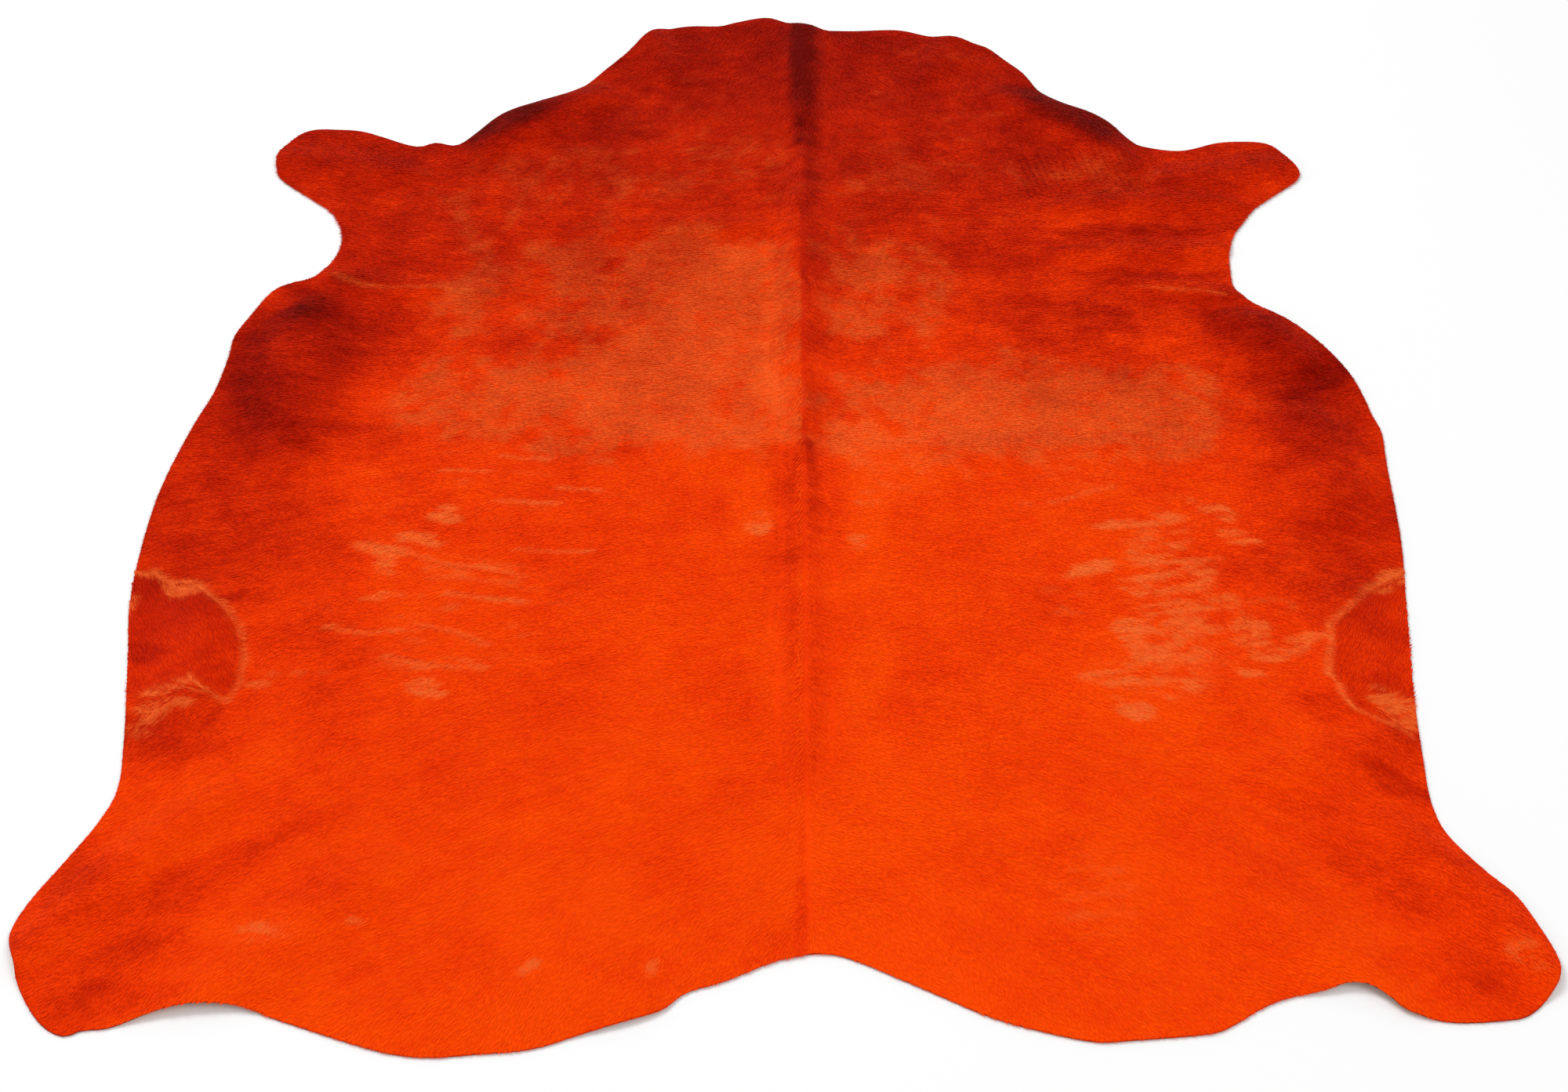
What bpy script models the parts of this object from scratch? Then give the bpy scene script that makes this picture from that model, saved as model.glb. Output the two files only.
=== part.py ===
"""Dyed hair-on cowhide, laid out flat on a floor.

The hide is one tanned skin with its coat on, trimmed round the neck, the four leg stubs,
the flanks and the rump. It is flat where it touches the floor, and it rises along the folds
that it was stored in and where the skin was never flat on the animal: at the shoulders,
armpits, flanks and hocks. Metres, +Z up, the neck towards +Y and the spine near X = 0.
"""

from typing import NamedTuple

import bmesh
import bpy
import numpy as np
from mathutils import Vector
from mathutils.geometry import delaunay_2d_cdt

MM = 0.001

# The leather is 2.4 mm thick, and its short coat, pressed flat, adds 1.6 mm.
LEATHER_THICKNESS = 2.4 * MM
PRESSED_COAT = 1.6 * MM

# Distances between the points of the sheet: along its rim, inside it and along a fold.
RIM_STEP = 20 * MM
LATTICE_STEP = 44 * MM
FOLD_STEP = 38 * MM
CLEAR_OF_RIM = 16 * MM
CLEAR_OF_FOLD = 20 * MM
SAME_POINT = 0.01 * MM

COAT_COLOUR = (0.62, 0.045, 0.003, 1.0)
COAT_ROUGHNESS = 0.6


class RimPoint(NamedTuple):
    """A point that the trimmed edge passes through, in millimetres from the middle."""

    across: float
    along: float


class Fold(NamedTuple):
    """A raised fold, in millimetres: its ends, its sideways bow, its reach and its height.

    An end that lies past the rim carries the fold out over the edge.
    """

    name: str
    start_across: float
    start_along: float
    end_across: float
    end_along: float
    bow: float
    reach: float
    height: float


# The trimmed edge, from the notch over the spine at the neck, down the left side, round the
# rump to the notch at the tail, and up the right side again.
RIM = {
    "left neck": (
        (35, 1107), (1, 1129), (-30, 1141), (-81, 1127), (-112, 1115), (-162, 1115),
        (-199, 1107), (-233, 1093), (-306, 993), (-362, 918), (-424, 885), (-467, 867),
        (-497, 842), (-530, 797), (-561, 765),
    ),
    "left front leg": (
        (-597, 772), (-620, 762), (-646, 766), (-722, 802), (-769, 809), (-813, 808),
        (-840, 788), (-864, 737), (-862, 694), (-847, 666), (-795, 619), (-754, 579),
        (-733, 525), (-734, 478), (-749, 438), (-772, 410),
    ),
    "left flank": (
        (-806, 396), (-832, 376), (-859, 319), (-880, 265), (-883, 215), (-895, 131),
        (-919, 46), (-947, -85), (-958, -208), (-958, -336), (-945, -436), (-926, -599),
        (-921, -690),
    ),
    "left hind leg": (
        (-939, -752), (-973, -820), (-1009, -889), (-1025, -945), (-1009, -997),
        (-1000, -1026), (-974, -1071), (-949, -1098), (-925, -1108), (-905, -1099),
        (-872, -1095), (-826, -1077), (-785, -1066), (-740, -1062), (-698, -1065),
    ),
    "left rump": (
        (-650, -1083), (-562, -1116), (-503, -1135), (-451, -1141), (-393, -1136),
        (-323, -1128), (-266, -1108), (-164, -1072), (-125, -1039), (-73, -1019), (-9, -987),
    ),
    "right rump": (
        (35, -976), (70, -976), (109, -991), (161, -1018), (213, -1046), (270, -1076),
        (328, -1097), (403, -1116), (455, -1114), (553, -1104), (587, -1090), (622, -1066),
        (663, -1046),
    ),
    "right hind leg": (
        (711, -1037), (745, -1028), (770, -1033), (794, -1051), (816, -1071), (873, -1086),
        (938, -1083), (972, -1075), (1003, -1046), (1021, -1018), (1024, -985), (1005, -923),
        (986, -878), (952, -838), (914, -776),
    ),
    "right flank": (
        (899, -718), (899, -636), (904, -514), (918, -345), (930, -200), (932, -34),
        (934, 35), (924, 80), (916, 126), (902, 176), (874, 234), (842, 276), (814, 307),
    ),
    "right front leg": (
        (769, 346), (742, 380), (738, 414), (741, 472), (754, 521), (770, 550), (796, 592),
        (854, 647), (878, 671), (883, 692), (870, 720), (853, 755), (833, 771), (799, 775),
        (751, 771), (688, 749),
    ),
    "right neck": (
        (625, 760), (600, 780), (569, 829), (537, 858), (487, 885), (453, 919), (429, 970),
        (397, 1012), (366, 1050), (328, 1067), (265, 1083), (226, 1098), (193, 1103),
        (121, 1100), (46, 1103),
    ),
}

# The folds. Each row holds a name, the two ends, the bow, the reach to each side and the height.
FOLDS = (
    Fold("spine at the neck", 42, 1240, 40, 700, 2, 50, 15),
    Fold("spine at the withers", 37, 790, 31, -45, -3, 66, 17),
    Fold("spine at the back", 32, 25, 31, -760, 2, 50, 10),
    Fold("front storage fold", -330, 534, 12, 540, 3, 48, 7),
    Fold("back storage fold, left", -190, -14, -4, -6, 2, 48, 7),
    Fold("back storage fold, right", 62, -6, 700, 0, -4, 52, 8),
    Fold("left neck edge", -285, 925, -540, 722, -12, 80, 14),
    Fold("left neck lift", -262, 1130, -190, 930, 6, 58, 10),
    Fold("right neck edge", 350, 925, 612, 690, 14, 80, 14),
    Fold("right neck lift", 330, 1110, 250, 920, -6, 58, 10),
    Fold("left front leg", -590, 676, -900, 742, 10, 74, 10),
    Fold("right front leg", 600, 660, 905, 716, -8, 70, 10),
    Fold("left armpit", -762, 424, -548, 372, -8, 48, 10),
    Fold("left armpit tail", -590, 384, -470, 366, 0, 42, 7),
    Fold("right armpit, upper", 420, 588, 792, 600, 6, 54, 10),
    Fold("right armpit, middle", 430, 470, 760, 482, -5, 50, 11),
    Fold("right armpit, lower", 556, 392, 760, 356, 4, 44, 9),
    Fold("left shoulder", -752, 372, -746, -70, -26, 124, 20),
    Fold("right shoulder, front", 690, 318, 850, 172, 10, 92, 17),
    Fold("right shoulder, back", 800, 120, 836, -190, 14, 104, 18),
    Fold("left ribs", -330, 330, -520, -260, -40, 210, 5),
    Fold("right ribs", 320, 300, 470, -300, 36, 210, 5),
    Fold("left flank", -862, -270, -858, -580, 18, 88, 12),
    Fold("right flank", 842, -270, 830, -590, -16, 84, 12),
    Fold("left hock", -742, -676, -1034, -1036, -14, 72, 16),
    Fold("left thigh", -520, -790, -850, -1130, 16, 96, 14),
    Fold("right hock", 806, -722, 1040, -1066, 12, 72, 15),
    Fold("right thigh", 560, -760, 840, -1096, -14, 96, 13),
    Fold("right thigh, front", 640, -696, 900, -590, 8, 66, 10),
    Fold("rump", -300, -900, -180, -1130, 10, 120, 6),
)

# A fold's foot comes in to this share of its reach at the two ends.
REACH_AT_ENDS = 0.4


def centred(points):
    """Returns the points, moved so that the box round them has its middle at the origin."""
    return points - (points.max(axis=0) + points.min(axis=0)) / 2


def smooth_rim():
    """Runs a closed Catmull-Rom curve through the rim's points and spaces it out evenly."""
    stretches = [[RimPoint(*row) for row in rows] for rows in RIM.values()]
    knots = np.array([point for rows in stretches for point in rows]) * MM
    before, after = np.roll(knots, 1, axis=0), np.roll(knots, -1, axis=0)
    beyond = np.roll(knots, -2, axis=0)
    t = np.linspace(0, 1, 16, endpoint=False)[None, :, None]
    a, b, c, d = (p[:, None, :] for p in (before, knots, after, beyond))
    curve = 0.5 * (2 * b + (c - a) * t + (2 * a - 5 * b + 4 * c - d) * t**2)
    curve = (curve + 0.5 * (3 * b - a - 3 * c + d) * t**3).reshape(-1, 2)
    closed = np.vstack([curve, curve[:1]])
    length = np.concatenate([[0], np.cumsum(np.linalg.norm(np.diff(closed, axis=0), axis=1))])
    places = np.linspace(0, length[-1], round(length[-1] / RIM_STEP), endpoint=False)
    return centred(np.stack([np.interp(places, length, axis) for axis in closed.T], axis=1))


def fold_axes(fold):
    """Returns the fold's middle, half its run as a vector, and the unit vector across it."""
    start = np.array([fold.start_across, fold.start_along]) * MM
    end = np.array([fold.end_across, fold.end_along]) * MM
    half_run = (end - start) / 2
    across = np.array([-half_run[1], half_run[0]]) / np.linalg.norm(half_run)
    return (start + end) / 2, half_run, across


def local_reach(fold, u):
    """Returns how far the fold reaches sideways at u, which runs from -1 to 1 along it."""
    return fold.reach * MM * (REACH_AT_ENDS + (1 - REACH_AT_ENDS) * (1 - u**2))


def fold_height(points):
    """Adds up the folds.

    Along a fold u runs from -1 to 1, and across it v is 0 on the bowed crest and 1 at the
    foot. The height is a squared cosine of v, and it fades to nothing at both ends.
    """
    height = np.zeros(len(points))
    for fold in FOLDS:
        middle, half_run, across = fold_axes(fold)
        u = np.clip((points - middle) @ half_run / (half_run @ half_run), -1, 1)
        crest = fold.bow * MM * (1 - u**2)
        v = np.clip(np.abs((points - middle) @ across - crest) / local_reach(fold, u), 0, 1)
        height += fold.height * MM * (1 - u**4) * np.cos(v * np.pi / 2) ** 2
    return height


def fold_points(fold):
    """Returns points along the fold's crest, along its feet, and halfway between them."""
    middle, half_run, across = fold_axes(fold)
    u = np.linspace(-1, 1, round(2 * np.linalg.norm(half_run) / FOLD_STEP) + 1)[1:-1]
    crest = middle + u[:, None] * half_run + (fold.bow * MM * (1 - u**2))[:, None] * across
    aside = local_reach(fold, u)[:, None] * across
    return np.vstack([crest + share * aside for share in (-1, -0.5, 0, 0.5, 1)])


def gap_to(points, others):
    """Returns each point's distance to the nearest of the others."""
    return np.linalg.norm(points[:, None] - others[None], axis=2).min(axis=1)


def inside(points, rim):
    """Tells which points lie inside the rim, by how often a ray from each one crosses it."""
    x, y = points[:, None, 0], points[:, None, 1]
    x0, y0 = rim.T
    x1, y1 = np.roll(rim, -1, axis=0).T
    spans = (y0 > y) != (y1 > y)
    rise = np.where(y1 == y0, 1, y1 - y0)
    return (spans & (x < x0 + (x1 - x0) * (y - y0) / rise)).sum(axis=1) % 2 == 1


def inner_points(rim):
    """Returns the points inside the rim: those of the folds, and an even lattice between them."""
    creased = np.vstack([fold_points(fold) for fold in FOLDS])
    creased = creased[inside(creased, rim) & (gap_to(creased, rim) > CLEAR_OF_RIM)]
    reach = np.abs(rim).max(axis=0)
    rows = np.arange(-reach[1], reach[1], LATTICE_STEP * np.sqrt(3) / 2)
    columns = np.arange(-reach[0], reach[0], LATTICE_STEP)
    x, y = np.meshgrid(columns, rows)
    x[1::2] += LATTICE_STEP / 2
    lattice = np.stack([x.ravel(), y.ravel()], axis=1)
    lattice = lattice[inside(lattice, rim) & (gap_to(lattice, rim) > CLEAR_OF_RIM)]
    return np.vstack([creased, lattice[gap_to(lattice, creased) > CLEAR_OF_FOLD]])


def hide_sheet():
    """Fills the rim with a triangulated sheet and lifts its points onto the folds."""
    rim = smooth_rim()
    flat = np.vstack([rim, inner_points(rim)])
    turns = [(i, (i + 1) % len(rim)) for i in range(len(rim))]
    vertices, _, faces, *_ = delaunay_2d_cdt(
        [Vector(point) for point in flat], turns, [], 1, SAME_POINT
    )
    plan = np.array([tuple(vertex) for vertex in vertices])
    mesh = bpy.data.meshes.new("hide")
    mesh.from_pydata(np.column_stack([plan, fold_height(plan)]).tolist(), [], faces)
    return mesh


def face_upwards(mesh):
    """Turns every face of the sheet to look up, so that its thickness is added on top."""
    sheet = bmesh.new()
    sheet.from_mesh(mesh)
    down = [face for face in sheet.faces if face.normal.z < 0]
    bmesh.ops.reverse_faces(sheet, faces=down)
    sheet.to_mesh(mesh)
    sheet.free()


def coat_material():
    """Returns the plain dyed coat."""
    material = bpy.data.materials.new("dyed_coat")
    material.use_nodes = True
    shader = material.node_tree.nodes["Principled BSDF"]
    shader.inputs["Base Color"].default_value = COAT_COLOUR
    shader.inputs["Roughness"].default_value = COAT_ROUGHNESS
    shader.inputs["Metallic"].default_value = 0.0
    return material


def build_hide(collection):
    """Makes the hide: the folded sheet, thickened upwards so that its underside rests level."""
    mesh = hide_sheet()
    face_upwards(mesh)
    mesh.materials.append(coat_material())
    hide = bpy.data.objects.new("hide", mesh)
    collection.objects.link(hide)
    thickness = hide.modifiers.new("thickness", "SOLIDIFY")
    thickness.thickness = LEATHER_THICKNESS + PRESSED_COAT
    thickness.offset = 1.0
    return hide


def main():
    """Clears the scene and builds the hide in its own collection."""
    for old in list(bpy.data.objects):
        bpy.data.objects.remove(old, do_unlink=True)
    collection = bpy.data.collections.new("cowhide_rug")
    bpy.context.scene.collection.children.link(collection)
    build_hide(collection)


main()
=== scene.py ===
"""Looks of a dyed hair-on cowhide rug that lies flat on a pale studio floor.

The leather is one thin closed sheet on the hide's ribs, which run from the spine to the rim.
The coat is short tufts of hair that lie along the nap, in bands from the neck to the rump,
and a fringe of finer hairs leans over the trimmed edge. How dark the coat is, with the dye's
tones and painted shade and light in it, the painted salmon sheen of the brushed nap and the
pale partings are worked out once on an even plan lattice, and every piece reads them there.
Metres, +Z up, the neck towards +Y; tables in millimetres say so.
"""

import logging
import math
from dataclasses import dataclass
from enum import Enum
from typing import Any, NamedTuple, Sequence, Union

import bpy
import numpy as np
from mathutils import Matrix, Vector


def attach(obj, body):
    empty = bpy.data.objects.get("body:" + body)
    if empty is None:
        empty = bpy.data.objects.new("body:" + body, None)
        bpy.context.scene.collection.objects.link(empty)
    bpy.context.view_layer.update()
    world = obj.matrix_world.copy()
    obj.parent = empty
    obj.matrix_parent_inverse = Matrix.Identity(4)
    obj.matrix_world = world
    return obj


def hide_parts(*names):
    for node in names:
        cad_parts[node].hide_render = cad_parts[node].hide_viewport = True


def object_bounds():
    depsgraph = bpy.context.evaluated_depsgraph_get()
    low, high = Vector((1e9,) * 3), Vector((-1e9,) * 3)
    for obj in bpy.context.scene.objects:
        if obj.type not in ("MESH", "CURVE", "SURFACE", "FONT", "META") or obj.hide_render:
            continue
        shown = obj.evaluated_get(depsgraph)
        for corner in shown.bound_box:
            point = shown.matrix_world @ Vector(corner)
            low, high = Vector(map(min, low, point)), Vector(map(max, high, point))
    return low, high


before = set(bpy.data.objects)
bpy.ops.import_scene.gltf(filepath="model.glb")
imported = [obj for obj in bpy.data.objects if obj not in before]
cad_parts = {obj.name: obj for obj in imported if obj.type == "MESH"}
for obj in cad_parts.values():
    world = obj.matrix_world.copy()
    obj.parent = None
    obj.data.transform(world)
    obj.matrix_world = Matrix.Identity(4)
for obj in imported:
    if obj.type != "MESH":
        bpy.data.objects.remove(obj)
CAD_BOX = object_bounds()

LOG = logging.getLogger("cowhide")
MM = 0.001
NODE = "hide"
BODY = "root"

LEATHER_THICKNESS = 2.4 * MM
SPINE_INSET = 60 * MM

Number = Union["Value", float]
Colour = tuple[float, float, float]


class Side(Enum):
    """A flank of the hide, seen from above with the neck away, as the sign of its X."""

    LEFT = -1
    RIGHT = 1


class Band(Enum):
    """A stretch of the coat, as the span of Y in metres that its roots stand in."""

    NECK = (0.56, 1.3)
    WITHERS = (0.09, 0.56)
    BARREL = (-0.36, 0.09)
    LOIN = (-0.79, -0.36)
    RUMP = (-1.3, -0.79)


class Fold(NamedTuple):
    """A raised fold, in millimetres: its ends, its sideways bow, its reach and its height."""

    name: str
    start_across: float
    start_along: float
    end_across: float
    end_along: float
    bow: float
    reach: float
    height: float


class Patch(NamedTuple):
    """A soft oval on the coat: middle and half sizes in millimetres, turn in degrees."""

    name: str
    across: float
    along: float
    half_width: float
    half_length: float
    turn: float
    strength: float


class Stripe(NamedTuple):
    """A stripe along the spine, in millimetres, with how softly each of its sides fades."""

    name: str
    from_along: float
    to_along: float
    left: float
    right: float
    soft_left: float
    soft_right: float
    strength: float


class Line(NamedTuple):
    """A fine line on the coat through points in millimetres, with its half width."""

    name: str
    half_width: float
    strength: float
    points: tuple[tuple[float, float], ...]


class PaintedSheenStop(NamedTuple):
    """A storage fold, in millimetres, past which the painted sheen thins out at once, where the
    hide turns from the light.

    The side is the sign in Y of where there is less, and the loss is how much is gone there.
    """

    along: float
    left: float
    right: float
    side: int
    loss: float


class Lamp(NamedTuple):
    """A square lamp: its place and size in metres and its power in watts."""

    name: str
    place: tuple[float, float, float]
    size: float
    power: float


# The trimmed edge in millimetres across and along, from the notch over the spine at the neck,
# down the left side, round the rump, and up the right side again, as the solid has it. Its
# points were read off the photo and laid on the floor through the studio's camera, and so
# were most of the places in the tables below. Strengths were set one by one.
RIM = {
    "left neck": (
        (35, 1107), (1, 1129), (-30, 1141), (-81, 1127), (-112, 1115), (-162, 1115),
        (-199, 1107), (-233, 1093), (-306, 993), (-362, 918), (-424, 885), (-467, 867),
        (-497, 842), (-530, 797), (-561, 765),
    ),
    "left front leg": (
        (-597, 772), (-620, 762), (-646, 766), (-722, 802), (-769, 809), (-813, 808),
        (-840, 788), (-864, 737), (-862, 694), (-847, 666), (-795, 619), (-754, 579),
        (-733, 525), (-734, 478), (-749, 438), (-772, 410),
    ),
    "left flank": (
        (-806, 396), (-832, 376), (-859, 319), (-880, 265), (-883, 215), (-895, 131),
        (-919, 46), (-947, -85), (-958, -208), (-958, -336), (-945, -436), (-926, -599),
        (-921, -690),
    ),
    "left hind leg": (
        (-939, -752), (-973, -820), (-1009, -889), (-1025, -945), (-1009, -997),
        (-1000, -1026), (-974, -1071), (-949, -1098), (-925, -1108), (-905, -1099),
        (-872, -1095), (-826, -1077), (-785, -1066), (-740, -1062), (-698, -1065),
    ),
    "left rump": (
        (-650, -1083), (-562, -1116), (-503, -1135), (-451, -1141), (-393, -1136),
        (-323, -1128), (-266, -1108), (-164, -1072), (-125, -1039), (-73, -1019), (-9, -987),
    ),
    "right rump": (
        (35, -976), (70, -976), (109, -991), (161, -1018), (213, -1046), (270, -1076),
        (328, -1097), (403, -1116), (455, -1114), (553, -1104), (587, -1090), (622, -1066),
        (663, -1046),
    ),
    "right hind leg": (
        (711, -1037), (745, -1028), (770, -1033), (794, -1051), (816, -1071), (873, -1086),
        (938, -1083), (972, -1075), (1003, -1046), (1021, -1018), (1024, -985), (1005, -923),
        (986, -878), (952, -838), (914, -776),
    ),
    "right flank": (
        (899, -718), (899, -636), (904, -514), (918, -345), (930, -200), (932, -34),
        (934, 35), (924, 80), (916, 126), (902, 176), (874, 234), (842, 276), (814, 307),
    ),
    "right front leg": (
        (769, 346), (742, 380), (738, 414), (741, 472), (754, 521), (770, 550), (796, 592),
        (854, 647), (878, 671), (883, 692), (870, 720), (853, 755), (833, 771), (799, 775),
        (751, 771), (688, 749),
    ),
    "right neck": (
        (625, 760), (600, 780), (569, 829), (537, 858), (487, 885), (453, 919), (429, 970),
        (397, 1012), (366, 1050), (328, 1067), (265, 1083), (226, 1098), (193, 1103),
        (121, 1100), (46, 1103),
    ),
}
LEFT_STRETCHES = ("left neck", "left front leg", "left flank", "left hind leg", "left rump")

# The folds that the solid has too.
FOLDS = (
    Fold("spine at the neck", 42, 1240, 40, 700, 2, 50, 15),
    Fold("spine at the withers", 37, 790, 31, -45, -3, 66, 17),
    Fold("spine at the back", 32, 25, 31, -760, 2, 50, 10),
    Fold("front storage fold", -330, 534, 12, 540, 3, 48, 7),
    Fold("back storage fold, left", -190, -14, -4, -6, 2, 48, 7),
    Fold("back storage fold, right", 62, -6, 700, 0, -4, 52, 8),
    Fold("left neck edge", -285, 925, -540, 722, -12, 80, 14),
    Fold("left neck lift", -262, 1130, -190, 930, 6, 58, 10),
    Fold("right neck edge", 350, 925, 612, 690, 14, 80, 14),
    Fold("right neck lift", 330, 1110, 250, 920, -6, 58, 10),
    Fold("left front leg", -590, 676, -900, 742, 10, 74, 10),
    Fold("right front leg", 600, 660, 905, 716, -8, 70, 10),
    Fold("left armpit", -762, 424, -548, 372, -8, 48, 10),
    Fold("left armpit tail", -590, 384, -470, 366, 0, 42, 7),
    Fold("right armpit, upper", 420, 588, 792, 600, 6, 54, 10),
    Fold("right armpit, middle", 430, 470, 760, 482, -5, 50, 11),
    Fold("right armpit, lower", 556, 392, 760, 356, 4, 44, 9),
    Fold("left shoulder", -752, 372, -746, -70, -26, 124, 20),
    Fold("right shoulder, front", 690, 318, 850, 172, 10, 92, 17),
    Fold("right shoulder, back", 800, 120, 836, -190, 14, 104, 18),
    Fold("left ribs", -330, 330, -520, -260, -40, 210, 5),
    Fold("right ribs", 320, 300, 470, -300, 36, 210, 5),
    Fold("left flank", -862, -270, -858, -580, 18, 88, 12),
    Fold("right flank", 842, -270, 830, -590, -16, 84, 12),
    Fold("left hock", -742, -676, -1034, -1036, -14, 72, 16),
    Fold("left thigh", -520, -790, -850, -1130, 16, 96, 14),
    Fold("right hock", 806, -722, 1040, -1066, 12, 72, 15),
    Fold("right thigh", 560, -760, 840, -1096, -14, 96, 13),
    Fold("right thigh, front", 640, -696, 900, -590, 8, 66, 10),
    Fold("rump", -300, -900, -180, -1130, 10, 120, 6),
)
REACH_AT_ENDS = 0.4

# How far out a patch is gone and where it is still full, in its half sizes.
PATCH_FADE = (1.45, 0.55)

# Fine creases that only the coat shows.
CREASES = (
    Fold("left rib crease, first", -611, -152, -566, -156, 0, 9, 1.0),
    Fold("left rib crease, second", -561, -182, -418, -185, 2, 10, 1.2),
    Fold("left rib crease, third", -640, -196, -520, -249, -4, 11, 1.4),
    Fold("left rib crease, fourth", -540, -246, -372, -282, -3, 11, 1.4),
    Fold("left rib crease, fifth", -495, -312, -372, -333, 2, 10, 1.2),
    Fold("left rib crease, sixth", -668, -331, -538, -340, 2, 10, 1.1),
    Fold("left rib crease, seventh", -676, -381, -552, -391, 0, 10, 1.1),
    Fold("left rib crease, eighth", -536, -378, -424, -420, 2, 10, 1.3),
    Fold("left rib crease, ninth", -580, -437, -456, -470, 2, 11, 1.3),
    Fold("right rib crease, lower", 432, -482, 655, -484, 4, 13, 1.6),
    Fold("right rib crease, outer", 664, -320, 684, -412, 3, 11, 1.2),
    Fold("right rib crease, inner", 686, -392, 664, -480, 2, 11, 1.2),
    Fold("right rib crease, slant", 624, -342, 460, -488, 4, 14, 1.2),
    Fold("right shoulder crease", 848, 92, 902, 178, 0, 14, 1.8),
)

# How dark the coat is down the hide, darker towards the neck, as (Y in millimetres, depth).
DEPTH_ALONG = (
    (-1140, 0.05), (-800, 0.1), (-400, 0.16), (-60, 0.19), (260, 0.35), (540, 0.48),
    (800, 0.6), (1140, 0.68),
)
# How much darker the coat is past the arcs of the flanks, where the nap lies forward: painted
# shade of the nap turned from the light.
FLANK_DEPTH = 0.21

# Patches that darken the coat, or lighten it where the strength is below 0. Those at the
# shoulders, the armpits, the neck's edges, the hocks' valleys and folds, the feet's valleys, the
# flanks' pits, the fold's pit and the spine's slit are painted shade on slopes turned from the
# light and in hollows. The left shoulder's light spot is a painted highlight, and the glows are
# painted light. The others darken or lighten the coat from place to place.
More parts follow.
